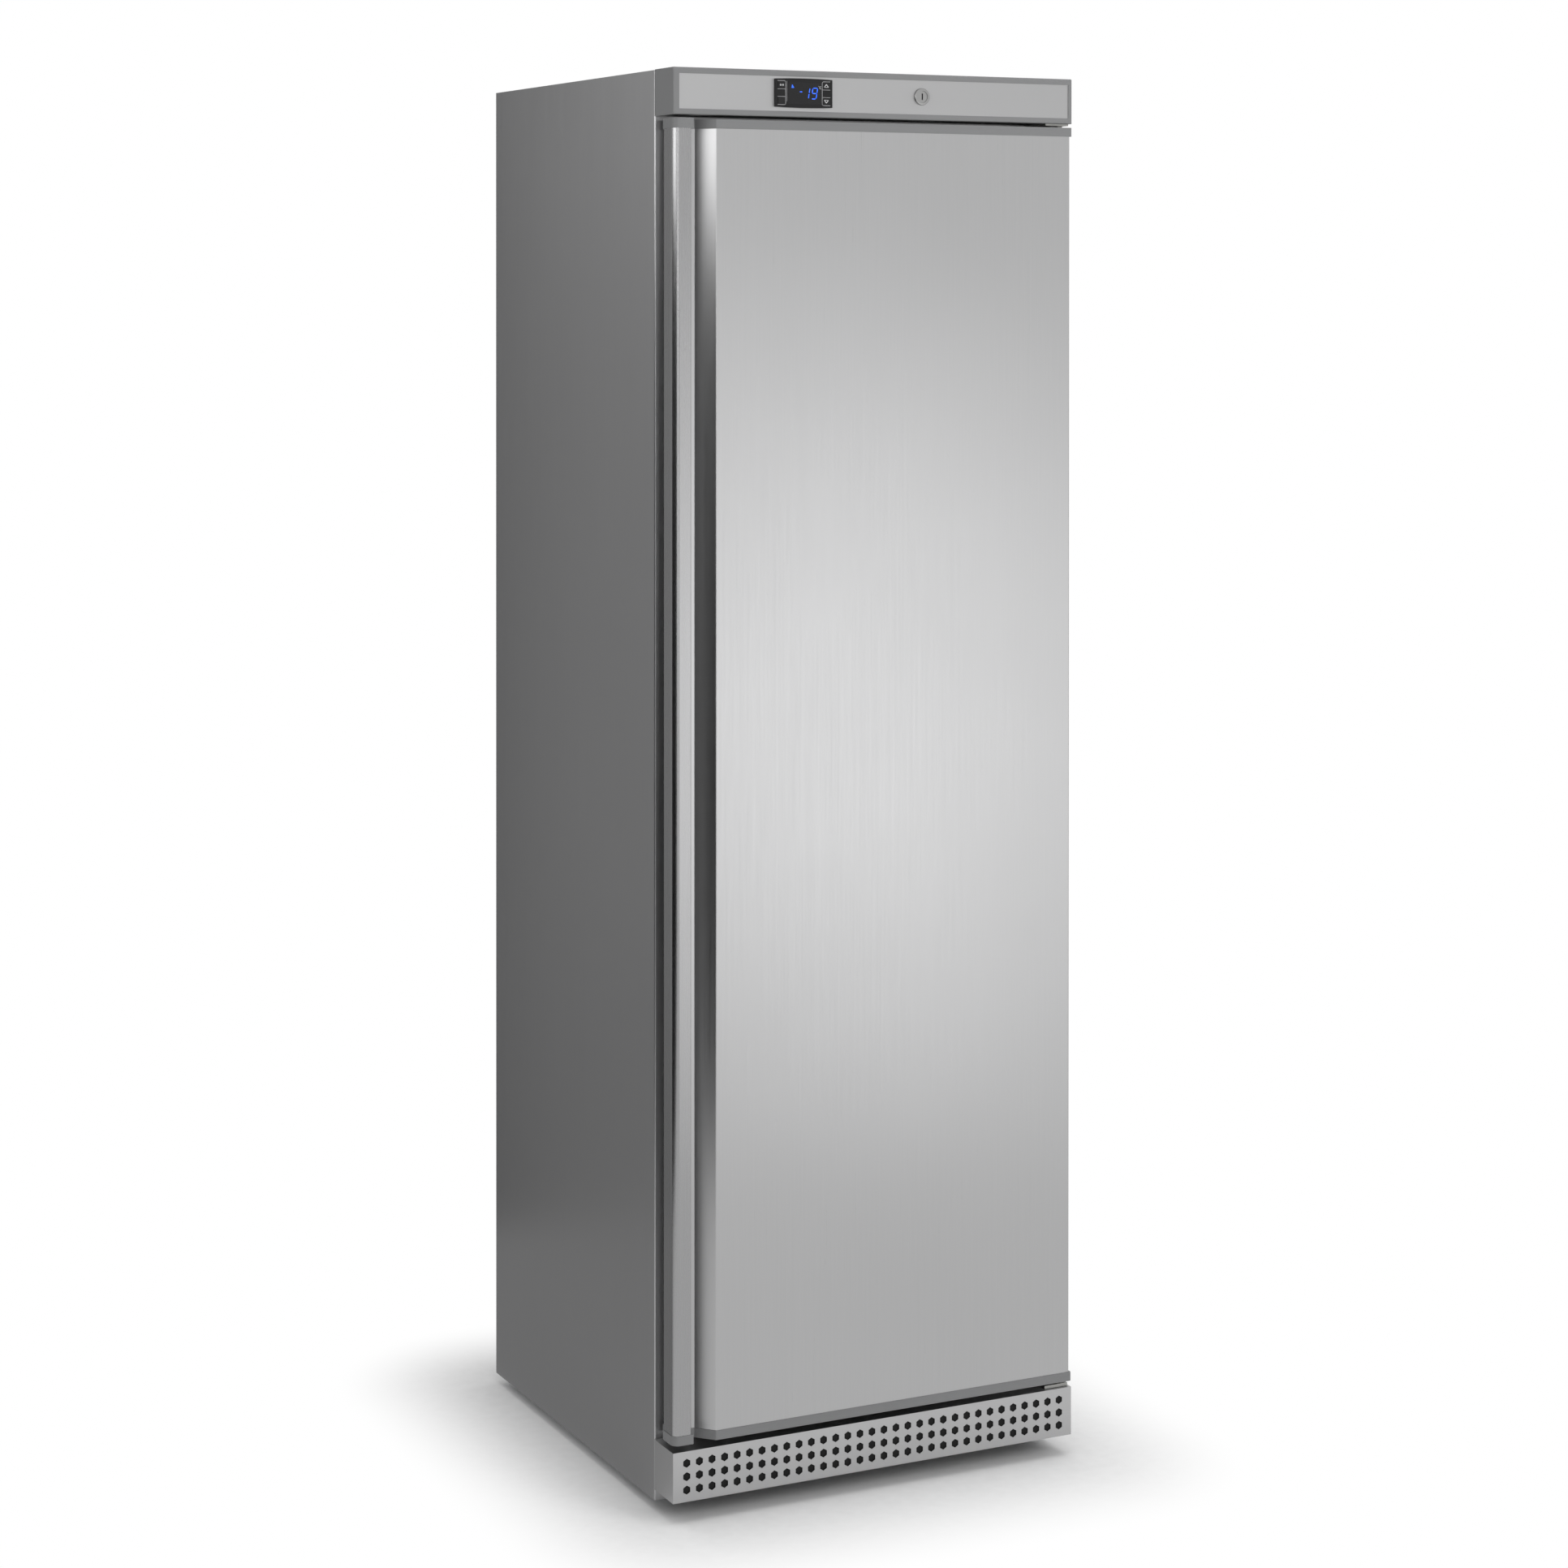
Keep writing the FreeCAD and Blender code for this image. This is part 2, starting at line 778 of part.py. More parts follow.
def shelf_wires(index):
    """Wires welded across the top of one shelf's runs, with a front rail."""
    height = LOW + d.shelf_low + d.shelf_pitch * index + d.coil_tube * TUBE_FLAT + d.wire_radius
    start = COIL_FIRST - d.wire_overhang
    wires = []
    for i in range(d.wire_count.value):
        across = COIL_TURN * (2 * i / (d.wire_count.value - 1) - 1)
        length = COIL_LAST + d.wire_overhang - start
        half = d.wire_radius
        wires.append(
            box(
                "wire_%d_%d" % (index, i),
                (across - half, across + half),
                (start, start + length),
                (height - half, height + half),
            )
        )
    return wires


def shelf_clips(index):
    """Angle clips on the side walls that carry one shelf."""
    height = LOW + d.shelf_low + d.shelf_pitch * index - d.coil_tube
    clips = []
    for side in (-1, 1):
        reach = d.coil_side_gap + d.coil_tube
        if side > 0:
            reach = CAVITY_HALF - COIL_TURN - RUN_PITCH / 2 + d.coil_tube
        for place in (COIL_FIRST + RUN_PITCH / 2, COIL_LAST - RUN_PITCH / 2):
            wall = CAVITY_HALF * side
            tip = (CAVITY_HALF - reach) * side
            across = (wall, tip) if side < 0 else (tip, wall)
            along = (place - d.clip_width / 2, place + d.clip_width / 2)
            clip = box("clip_%d_%d" % (index, len(clips)), across, along, (height - d.clip_wall, height))
            clips.append(clip)
    return clips


SHELVES = range(d.shelf_count.value)
node(group("shelf_coils", [shelf_coil(i) for i in SHELVES]), "evaporator_shelves")
node(group("shelf_grids", [wire for i in SHELVES for wire in shelf_wires(i)]), "shelf_wires")
node(group("shelf_carriers", [clip for i in SHELVES for clip in shelf_clips(i)]), "shelf_clips")
node(
    cylinder(
        "probe",
        (CAVITY_HALF - d.probe_radius, FRONT + d.probe_depth, CAVITY_HIGH - d.probe_drop),
        "z",
        d.probe_radius,
        d.probe_length,
    ),
    "temperature_probe",
)

# --- header ------------------------------------------------------------------

CAM_Y = FASCIA_Y + d.fascia_sheet + d.lock_length
CAM_ROOM_Y = (CAM_Y - d.cam_play, CAM_Y + d.cam_sheet + d.cam_play)


def cam_room(reach):
    """How far across the cam reaches at a depth below its axis."""
    tip = math.hypot(d.cam_reach.value, d.cam_width.value / 2)
    return math.sqrt(max(tip ** 2 - reach.value ** 2, 0.0))


ARM_RIGHT = RIGHT - d.header_wall - d.arm_play
ARM_X = (ARM_RIGHT - d.arm_width, ARM_RIGHT)
NOTCH_FRONT = FLANGE - d.hinge_flange - d.notch_play
NOTCH_X = (ARM_X[0] - d.notch_play, ARM_X[1] + d.arm_play)

bezel = extruded(
    "bezel_block",
    "XZ_Plane",
    [(LEFT, HEADER_LOW), (RIGHT, HEADER_LOW), (RIGHT, HEADER_TOP), (LEFT, HEADER_TOP)],
    FRONT,
    FLANGE,
)
fillet(bezel, "y", [(LEFT, HEADER_TOP), (RIGHT, HEADER_TOP)], d.header_round)
fillet(bezel, "x", [(FRONT, HEADER_TOP), (FRONT, HEADER_LOW)], d.header_round)
wall = d.header_wall
bezel_hollow = box(
    "bezel_hollow",
    (LEFT + wall, RIGHT - wall),
    (FRONT + wall, FLANGE + OVER),
    (HEADER_LOW + wall, HEADER_TOP - wall),
)
FASCIA_X = (LEFT + d.fascia_left, RIGHT - d.fascia_right)
FASCIA_Z = (HEADER_LOW + d.fascia_low, HEADER_TOP - d.fascia_high)
bezel_window = box("bezel_window", FASCIA_X, (FRONT - OVER, FRONT + wall + OVER), FASCIA_Z)
bezel_slot = box(
    "bezel_slot",
    (d.lock_x - d.cam_width / 2 - d.cam_play, d.lock_x + cam_room(d.lock_height - wall) + d.cam_play),
    CAM_ROOM_Y,
    (HEADER_LOW - OVER, HEADER_LOW + wall + OVER),
)
bezel_notch = box(
    "bezel_notch", NOTCH_X, (NOTCH_FRONT, FLANGE + OVER), (HEADER_LOW - OVER, HEADER_LOW + wall + OVER)
)
node(cut("bezel_shell", bezel, [bezel_hollow, bezel_window, bezel_slot, bezel_notch]), "header_bezel")

CONTROL_X = LEFT + d.control_left
CONTROL_Z = HEADER_LOW + d.control_low
BODY_X = CONTROL_X + (d.control_width - d.control_body_width) / 2
BODY_Z = CONTROL_Z + (d.control_height - d.control_body_height) / 2

fascia_sheet = box("fascia_sheet_blank", FASCIA_X, (FASCIA_Y, FASCIA_Y + d.fascia_sheet), FASCIA_Z)
control_hole = box(
    "control_hole",
    (BODY_X, BODY_X + d.control_body_width),
    (FASCIA_Y - OVER, FASCIA_Y + d.fascia_sheet + OVER),
    (BODY_Z, BODY_Z + d.control_body_height),
)
lock_hole = prism(
    "lock_hole", (d.lock_x, FASCIA_Y - OVER, LOCK_Z), "y", 8, d.lock_tube, d.fascia_sheet + 2 * OVER
)
node(cut("fascia_plate_cut", fascia_sheet, [control_hole, lock_hole]), "fascia_plate")


def controller_front():
    """The controller's bezel, with its upper and lower edges bowed outwards."""
    owner = body("controller_front")
    drawing = sketch(owner, "XZ_Plane", -(FRONT - d.control_proud), "controller_outline")
    west = CONTROL_X
    east = CONTROL_X + d.control_width
    middle = CONTROL_X + d.control_width / 2
    south = CONTROL_Z
    north = CONTROL_Z + d.control_height
    drawing.addGeometry(Part.LineSegment(vector(east, south), vector(east, north)), False)
    drawing.addGeometry(Part.LineSegment(vector(west, north), vector(west, south)), False)
    arcs = [
        Part.Arc(vector(east, north), vector(middle, north + d.control_bow), vector(west, north)),
        Part.Arc(vector(west, south), vector(middle, south - d.control_bow), vector(east, south)),
    ]
    drawing.addGeometry(arcs, False)
    corners = [(0, 1, east, south), (0, 2, east, north), (1, 1, west, north), (1, 2, west, south)]
    for line, end, across, along in corners:
        pin(drawing, line, end, across, along)
    for arc, start, end in ((2, (0, 2), (1, 1)), (3, (1, 2), (0, 1))):
        drawing.addConstraint(Sketcher.Constraint("Coincident", arc, 1, *start))
        drawing.addConstraint(Sketcher.Constraint("Coincident", arc, 2, *end))
        radius = (d.control_width * d.control_width / 4 + d.control_bow * d.control_bow) / (2 * d.control_bow)
        index = drawing.addConstraint(Sketcher.Constraint("Radius", arc, radius.value))
        drawing.setExpression("Constraints[%d]" % index, radius.text)
    pad(owner, drawing, d.control_proud + d.fascia_setback, "controller_pad")
    return owner


BUTTON_X = {
    "left": CONTROL_X + d.button_inset,
    "right": CONTROL_X + d.control_width - d.button_inset - d.button_width,
}
BUTTON_Z = {
    "low": CONTROL_Z + d.button_border,
    "high": CONTROL_Z + d.control_height - d.button_border - d.button_height,
}
BUTTONS = {
    "button_defrost": ("left", "high"),
    "button_set": ("left", "low"),
    "button_up": ("right", "high"),
    "button_down": ("right", "low"),
}
BUTTON_FACE = FRONT - d.control_proud - d.button_proud
BUTTON_FLOOR = BUTTON_FACE + d.button_deep + d.button_travel + d.button_spare
WINDOW_X = (CONTROL_X + d.window_inset, CONTROL_X + d.window_inset + d.window_width)
WINDOW_Z = (CONTROL_Z + d.window_border, CONTROL_Z + d.control_height - d.window_border)
WINDOW_FACE = FRONT - d.control_proud - d.window_proud
WINDOW_Y = (WINDOW_FACE, WINDOW_FACE + d.window_glass)


def button(label, grow, near, far):
    """A push button, or its pocket when grown."""
    column, row = BUTTONS[label]
    across = (BUTTON_X[column] - grow, BUTTON_X[column] + d.button_width + grow)
    up = (BUTTON_Z[row] - grow, BUTTON_Z[row] + d.button_height + grow)
    return box("%s_%s" % (label, "pocket" if isinstance(grow, Size) else "cap"), across, (near, far), up)


control_box = box(
    "control_box",
    (BODY_X, BODY_X + d.control_body_width),
    (FRONT, FRONT + d.control_body_depth),
    (BODY_Z, BODY_Z + d.control_body_height),
)
pockets = [button(label, d.button_gap, BUTTON_FACE - OVER, BUTTON_FLOOR) for label in BUTTONS]
pockets.append(box("window_pocket", WINDOW_X, (WINDOW_Y[0] - OVER, WINDOW_Y[1]), WINDOW_Z))
controller_blank = fuse("controller_blank", [controller_front(), control_box])
node(cut("controller_cut", controller_blank, pockets), "controller")
node(box("window_pane", WINDOW_X, WINDOW_Y, WINDOW_Z), "controller_window")
for button_label in BUTTONS:
    node(button(button_label, 0, BUTTON_FACE, BUTTON_FACE + d.button_deep), button_label)

# --- lock --------------------------------------------------------------------

LOCK_FACE = FASCIA_Y - d.lock_proud
PLUG_FACE = LOCK_FACE + d.plug_setback
BORE = d.lock_plug + d.lock_play

lock_flange = prism("lock_ring", (d.lock_x, LOCK_FACE, LOCK_Z), "y", 24, d.lock_flange, d.lock_proud)
lock_tube = prism(
    "lock_tube_octagon",
    (d.lock_x, FASCIA_Y, LOCK_Z),
    "y",
    8,
    d.lock_tube,
    d.fascia_sheet + d.lock_length - d.cam_gap,
)
lock_bore = cylinder(
    "lock_bore",
    (d.lock_x, LOCK_FACE - OVER, LOCK_Z),
    "y",
    BORE,
    d.lock_proud + d.fascia_sheet + d.lock_length + OVER,
)
node(cut("lock_barrel", fuse("lock_blank", [lock_flange, lock_tube]), [lock_bore]), "lock_housing")
plug = cylinder("plug_core", (d.lock_x, PLUG_FACE, LOCK_Z), "y", d.lock_plug, CAM_Y - PLUG_FACE)
keyhole = box(
    "keyhole",
    (d.lock_x - d.keyhole_width / 2, d.lock_x + d.keyhole_width / 2),
    (PLUG_FACE - OVER, PLUG_FACE + d.keyhole_depth),
    (LOCK_Z - d.keyhole_length / 2, LOCK_Z + d.keyhole_length / 2),
)
node(cut("plug_cut", plug, [keyhole]), "lock_plug")
cam = box(
    "cam_strip",
    (d.lock_x - d.cam_width / 2, d.lock_x + d.cam_reach),
    (CAM_Y, CAM_Y + d.cam_sheet),
    (LOCK_Z - d.cam_width / 2, LOCK_Z + d.cam_width / 2),
)
node(cam, "lock_cam")

# --- kick grille -------------------------------------------------------------

grille = extruded(
    "grille_block",
    "XZ_Plane",
    [(LEFT, GRILLE_LOW), (RIGHT, GRILLE_LOW), (RIGHT, GRILLE_TOP), (LEFT, GRILLE_TOP)],
    FRONT,
    FLANGE,
)
hollow = grille.newObject("PartDesign::Pocket", "grille_hollow")
hollow_outline = sketch(grille, "XZ_Plane", -(FRONT + d.grille_sheet), "grille_hollow_outline")
polygon(
    hollow_outline,
    [
        (LEFT + d.grille_sheet, GRILLE_LOW - OVER),
        (RIGHT - d.grille_sheet, GRILLE_LOW - OVER),
        (RIGHT - d.grille_sheet, GRILLE_TOP - d.grille_sheet),
        (LEFT + d.grille_sheet, GRILLE_TOP - d.grille_sheet),
    ],
)
hollow.Profile = hollow_outline
bind(hollow, "Length", d.door_zone)
holes = grille.newObject("PartDesign::Pocket", "grille_hole")
hole_outline = sketch(grille, "XZ_Plane", -FRONT, "grille_hole_outline")
first_hole = (-d.hole_pitch * (d.hole_columns.value - 1) / 2, GRILLE_LOW + d.hole_row_low)
hex_radius = d.hole_width / math.sqrt(3)
polygon(hole_outline, regular(hex_radius, 6, first_hole))
holes.Profile = hole_outline
bind(holes, "Length", d.grille_sheet * 2)
grid = grille.newObject("PartDesign::MultiTransform", "grille_grid")
grid.Originals = [holes]
steps = []
for name, direction, pitch, count in (
    ("grille_columns", "H_Axis", d.hole_pitch, d.hole_columns),
    ("grille_rows", "V_Axis", d.hole_row_pitch, d.hole_rows),
):
    step = grille.newObject("PartDesign::LinearPattern", name)
    step.Direction = (hole_outline, [direction])
    bind(step, "Length", pitch * (count.value - 1))
    bind(step, "Occurrences", count)
    steps.append(step)
grid.Transformations = steps
grille.Tip = grid
grille_notch = box(
    "grille_notch",
    (NOTCH_X[0], RIGHT - d.grille_sheet),
    (NOTCH_FRONT, FLANGE + OVER),
    (GRILLE_TOP - d.grille_sheet - OVER, GRILLE_TOP + OVER),
)
node(cut("grille_cut", grille, [grille_notch]), "kick_grille")

# --- door --------------------------------------------------------------------

SKIN_RIGHT = RIGHT - d.door_edge
SKIN_LEFT = LEFT + d.door_inset
CHAMFER_FRONT = LEFT + d.chamfer_start
CHAMFER_REAR = CHAMFER_FRONT - d.recess_deep
RECESS_Y = FRONT + d.recess_deep
MITRE = math.tan(math.pi / 8)          # shift of a corner between a face and a 45-degree slope


def door_outline(inset):
    """The door's plan from its rear right to its rear left corner, drawn in by inset."""
    return [
        (SKIN_RIGHT - inset, DOOR_BACK),
        (SKIN_RIGHT - inset, FRONT + inset),
        (CHAMFER_FRONT + inset * MITRE, FRONT + inset),
        (CHAMFER_REAR + inset * MITRE, RECESS_Y + inset),
        (SKIN_LEFT + inset, RECESS_Y + inset),
        (SKIN_LEFT + inset, DOOR_BACK),
    ]


outside = door_outline(as_size(0))
inside = door_outline(d.sheet)
skin = extruded("door_sheet", "XY_Plane", outside + inside[::-1], PANEL_LOW, PANEL_TOP)
fillet(skin, "z", [inside[1], inside[2], inside[4], outside[3]], d.door_bend - d.sheet)
fillet(skin, "z", [outside[1], outside[2], outside[4], inside[3]], d.door_bend)
node(skin, "door_skin")


def ring_between(name, low_inset, high_inset, start, end):
    """A tapered block on the door's rear, from one rectangle to a smaller one."""
    owner = body(name)
    drawings = []
    for place, inset in ((start, low_inset), (end, high_inset)):
        drawing = sketch(owner, "XZ_Plane", -place, "%s_outline_%d" % (name, len(drawings)))
        half = CAVITY_HALF - d.dyke_edge - inset
        low = CAVITY_LOW + d.dyke_edge + inset
        high = CAVITY_HIGH - d.dyke_edge - inset
        polygon(drawing, [(-half, low), (half, low), (half, high), (-half, high)])
        drawings.append(drawing)
    made = owner.newObject("PartDesign::AdditiveLoft", name + "_loft")
    made.Profile = drawings[0]
    made.Sections = [drawings[1]]
    made.Ruled = True
    return owner


door_wall = d.door_liner_wall
dyke_outside = ring_between("dyke_outside", as_size(0), d.dyke_taper, DOOR_BACK, DOOR_BACK + d.dyke_deep)
dyke_inside = ring_between(
    "dyke_inside",
    door_wall,
    d.dyke_taper + door_wall,
    DOOR_BACK - door_wall,
    DOOR_BACK + d.dyke_deep - door_wall,
)
liner_plate = box(
    "door_liner_plate",
    (SKIN_LEFT + d.sheet, SKIN_RIGHT - d.sheet),
    (DOOR_BACK - door_wall, DOOR_BACK),
    (PANEL_LOW, PANEL_TOP),
)
door_liner_blank = fuse("door_liner_blank", [liner_plate, dyke_outside])
node(cut("door_liner_shell", door_liner_blank, [dyke_inside]), "door_liner")

foam_points = inside[1:5] + [(inside[4][0], DOOR_BACK - door_wall), (inside[1][0], DOOR_BACK - door_wall)]
door_core = extruded("door_core", "XY_Plane", foam_points, PANEL_LOW, PANEL_TOP)
fillet(door_core, "z", [inside[1], inside[2], inside[4]], d.door_bend - d.sheet)
fillet(door_core, "z", [inside[3]], d.door_bend)
node(fuse("door_core_whole", [door_core, dyke_inside]), "door_foam")

GRIP_LEFT = LEFT + d.cap_proud
GRIP_EDGE = LEFT + d.handle_face
grip_wall = d.handle_wall
grip = extruded(
    "grip_section",
    "XY_Plane",
    [
        (SKIN_LEFT, FRONT + d.handle_deep + d.handle_foot),
        (SKIN_LEFT - grip_wall, FRONT + d.handle_deep + d.handle_foot),
        (SKIN_LEFT - grip_wall, FRONT + d.handle_deep),
        (GRIP_LEFT, FRONT + d.handle_deep),
        (GRIP_LEFT, FRONT),
        (GRIP_EDGE, FRONT),
        (GRIP_EDGE, FRONT + d.handle_lip),
        (GRIP_EDGE - grip_wall, FRONT + d.handle_lip),
        (GRIP_EDGE - grip_wall, FRONT + grip_wall),
        (GRIP_LEFT + grip_wall, FRONT + grip_wall),
        (GRIP_LEFT + grip_wall, FRONT + d.handle_deep - grip_wall),
        (SKIN_LEFT, FRONT + d.handle_deep - grip_wall),
    ],
    PANEL_LOW,
    PANEL_TOP,
)
fillet(grip, "z", [(GRIP_LEFT + grip_wall, FRONT + grip_wall)], d.handle_round - grip_wall)
fillet(grip, "z", [(GRIP_LEFT, FRONT)], d.handle_round)
fillet(grip, "z", [(GRIP_EDGE, FRONT), (GRIP_LEFT, FRONT + d.handle_deep)], grip_wall * EDGE_SHARE)
node(grip, "handle_profile")

CAP_RIGHT = RIGHT - d.cap_edge
CAP_FRONT = FRONT - d.cap_proud
GRIP_CAP_EDGE = GRIP_EDGE + d.handle_cap_reach
CAP_RECESS = RECESS_Y - d.cap_proud
CAP_SLOPE = d.cap_proud * MITRE
grip_cap_rear = FRONT + d.handle_deep + d.cap_proud


def end_cap(name, start, end):
    """A moulded cap over the end of the door and of the grip."""
    owner = extruded(
        name,
        "XY_Plane",
        [
            (CAP_RIGHT, DOOR_BACK),
            (CAP_RIGHT, CAP_FRONT),
            (CHAMFER_FRONT - CAP_SLOPE, CAP_FRONT),
            (CHAMFER_REAR - CAP_SLOPE, CAP_RECESS),
            (GRIP_CAP_EDGE, CAP_RECESS),
            (GRIP_CAP_EDGE, CAP_FRONT),
            (LEFT, CAP_FRONT),
            (LEFT, grip_cap_rear),
            (SKIN_LEFT - grip_wall, grip_cap_rear),
            (SKIN_LEFT - grip_wall, DOOR_BACK),
        ],
        start,
        end,
    )
    fillet(owner, "z", [(LEFT, CAP_FRONT)], d.handle_round + d.cap_proud)
    rounds = [(CAP_RIGHT, CAP_FRONT), (GRIP_CAP_EDGE, CAP_FRONT), (CHAMFER_FRONT - CAP_SLOPE, CAP_FRONT)]
    fillet(owner, "z", rounds + [(LEFT, grip_cap_rear)], d.cap_round)
    return owner


STRIKE_X = (
    d.lock_x - d.cam_width / 2 - d.cam_play,
    d.lock_x + cam_room(d.lock_height + d.head_gap) + d.cam_play,
)
strike_low = DOOR_TOP - d.strike_deep
slot_room = box("slot_room", STRIKE_X, CAM_ROOM_Y, (strike_low, DOOR_TOP + OVER))
step_cap = extruded(
    "grip_cap_step",
    "XY_Plane",
    [(GRIP_CAP_EDGE, grip_cap_rear), (GRIP_CAP_EDGE, CAP_FRONT), (LEFT, CAP_FRONT), (LEFT, grip_cap_rear)],
    DOOR_TOP - d.cap_height / 2,
    DOOR_TOP + d.handle_cap_step,
)
fillet(step_cap, "z", [(LEFT, CAP_FRONT)], d.handle_round + d.cap_proud)
fillet(step_cap, "z", [(GRIP_CAP_EDGE, CAP_FRONT), (LEFT, grip_cap_rear)], d.cap_round)
top_blank = fuse("top_cap_blank", [end_cap("top_cap_block", PANEL_TOP, DOOR_TOP), step_cap])
top_bush_hole = prism(
    "top_bush_hole", (PIVOT_X, PIVOT_Y, DOOR_TOP - d.bush_length), "z", 8, d.hinge_bush, d.bush_length + OVER
)
node(cut("top_cap_cut", top_blank, [slot_room, top_bush_hole]), "door_top_cap")
low_bush_hole = prism(
    "low_bush_hole", (PIVOT_X, PIVOT_Y, DOOR_LOW - OVER), "z", 8, d.hinge_bush, d.bush_length + OVER
)
node(cut("low_cap_cut", end_cap("low_cap_block", DOOR_LOW, PANEL_LOW), [low_bush_hole]), "door_bottom_cap")

strike_block = box("strike_block", STRIKE_X, CAM_ROOM_Y, (strike_low, DOOR_TOP))
strike_hollow = box(
    "strike_hollow",
    (STRIKE_X[0] + d.strike_wall, STRIKE_X[1] - d.strike_wall),
    (CAM_ROOM_Y[0] + d.strike_wall, CAM_ROOM_Y[1] - d.strike_wall),
    (strike_low + d.strike_wall, DOOR_TOP + OVER),
)
node(cut("strike_cup", strike_block, [strike_hollow]), "lock_strike")


def bush(name, height):
    bore = d.hinge_pin + d.hinge_play
    ring = prism(name + "_ring", (PIVOT_X, PIVOT_Y, height), "z", 8, d.hinge_bush, d.bush_length)
    hole = cylinder(name + "_hole", (PIVOT_X, PIVOT_Y, height - OVER), "z", bore, d.bush_length + 2 * OVER)
    return cut(name, ring, [hole])


door_bushes = [bush("top_bush", DOOR_TOP - d.bush_length), bush("low_bush", DOOR_LOW)]
node(group("bushes", door_bushes), "hinge_bushes")

GASKET_X = RIGHT - d.gasket_edge
GASKET_Z = (DOOR_LOW + d.gasket_end, DOOR_TOP - d.gasket_end)
GASKET_Y = (DOOR_BACK, FLANGE - d.gasket_gap)
gasket_block = box("gasket_block", (-GASKET_X, GASKET_X), GASKET_Y, GASKET_Z)
gasket_hole = box(
    "gasket_hole",
    (-GASKET_X + d.gasket_width, GASKET_X - d.gasket_width),
    (GASKET_Y[0] - OVER, GASKET_Y[1] + OVER),
    (GASKET_Z[0] + d.gasket_width, GASKET_Z[1] - d.gasket_width),
)
node(cut("gasket_frame", gasket_block, [gasket_hole]), "door_gasket")

# --- hinges ------------------------------------------------------------------


def hinge_bracket(name, arm, flange):
    """An angle: an arm over or under the door, and a flange on the cabinet's front."""
    parts = [
        box(name + "_arm", ARM_X, (PIVOT_Y - d.arm_tip, FLANGE), arm),
        box(name + "_flange", ARM_X, (FLANGE - d.hinge_flange, FLANGE), flange),
    ]
    bore = d.hinge_pin + d.arm_bore_play
    hole = cylinder(name + "_hole", (PIVOT_X, PIVOT_Y, arm[0] - OVER), "z", bore, arm[1] - arm[0] + 2 * OVER)
    return cut(name + "_cut", fuse(name + "_angle", parts), [hole])


TOP_ARM = (HEADER_LOW - d.top_arm_sheet, HEADER_LOW)
LOW_ARM = (GRILLE_TOP + d.low_arm_gap, GRILLE_TOP + d.low_arm_gap + d.low_arm_sheet)
node(hinge_bracket("top_hinge", TOP_ARM, (TOP_ARM[0], HEADER_LOW + d.hinge_drop)), "top_hinge_bracket")
node(hinge_bracket("low_hinge", LOW_ARM, (LOW_ARM[1] - d.hinge_drop, LOW_ARM[1])), "bottom_hinge_bracket")
top_pin_low = DOOR_TOP - d.bush_length + d.pin_end_play
low_pin_top = DOOR_LOW + d.bush_length - d.pin_end_play


def hinge_pin(name, shaft, collar):
    """A pin fixed in its bracket, with a hexagonal collar towards the door."""
    place = (PIVOT_X, PIVOT_Y)
    parts = [
        cylinder(name + "_shaft", (*place, shaft[0]), "z", d.hinge_pin, shaft[1] - shaft[0]),
        prism(name + "_collar", (*place, collar[0]), "z", 6, d.hinge_collar, collar[1] - collar[0]),
    ]
    return fuse(name + "_whole", parts)


node(
    group(
        "pins",
        [
            hinge_pin("top_pin", (top_pin_low, TOP_ARM[1]), (DOOR_TOP + d.collar_play, TOP_ARM[0])),
            hinge_pin("low_pin", (LOW_ARM[0], low_pin_top), (LOW_ARM[1], DOOR_LOW - d.collar_play)),
        ],
    ),
    "hinge_pins",
)

second_screw = d.hinge_screw_first + d.hinge_screw_pitch
screw_heights = [HEADER_LOW + d.hinge_screw_first, HEADER_LOW + second_screw]
screw_heights += [LOW_ARM[1] - d.hinge_screw_first, LOW_ARM[1] - second_screw]
hinge_screws = []
for height in screw_heights:
    hinge_screws.append(
        prism(
            "hinge_screw_%d" % len(hinge_screws),
            ((ARM_X[0] + ARM_X[1]) / 2, FLANGE - d.hinge_flange - d.screw_head_high, height),
            "y",
            6,
            d.screw_head,
            d.screw_head_high,
        )
    )
node(group("hinge_screw_set", hinge_screws), "hinge_screws")

# --- base: rails, feet and rollers -------------------------------------------

RAIL_MIDDLE = INSIDE - d.rail_width / 2
RAIL_TOP = LOW + d.rail_height
AXLE_Z = d.roller_radius
ROLLER_Y = REAR - d.roller_rear
FOOT_Y = FRONT + d.foot_y


def base_rail(name, side):
    """An upright channel along one side, with a hole for the foot and a slot for the roller."""
    sides = sorted((INSIDE * side, (INSIDE - d.rail_width) * side), key=lambda place: place.value)
    low_x, high_x = sides
    channel = extruded(
        name + "_channel",
        "XZ_Plane",
        [
            (low_x, LOW),
            (high_x, LOW),
            (high_x, RAIL_TOP),
            (high_x - d.rail_sheet, RAIL_TOP),
            (high_x - d.rail_sheet, LOW + d.rail_sheet),
            (low_x + d.rail_sheet, LOW + d.rail_sheet),
            (low_x + d.rail_sheet, RAIL_TOP),
            (low_x, RAIL_TOP),
        ],
        FRONT + d.rail_start,
        REAR - d.rail_end,
    )
    middle = RAIL_MIDDLE * side
    half = d.roller_width / 2 + d.roller_slot_gap
    reach = d.roller_radius + d.roller_slot_gap
    tools = [
        prism(
            name + "_foot_hole",
            (middle, FOOT_Y, LOW - OVER),
            "z",
            8,
            d.foot_stud + d.foot_hole_play,
            d.rail_sheet + 2 * OVER,
        ),
        box(
            name + "_roller_slot",
            (middle - half, middle + half),
            (ROLLER_Y - reach, ROLLER_Y + reach),
            (LOW - OVER, LOW + d.rail_sheet + OVER),
        ),
    ]
    return cut(name, channel, tools)


node(group("rails", [base_rail("left_rail", -1), base_rail("right_rail", 1)]), "base_rails")


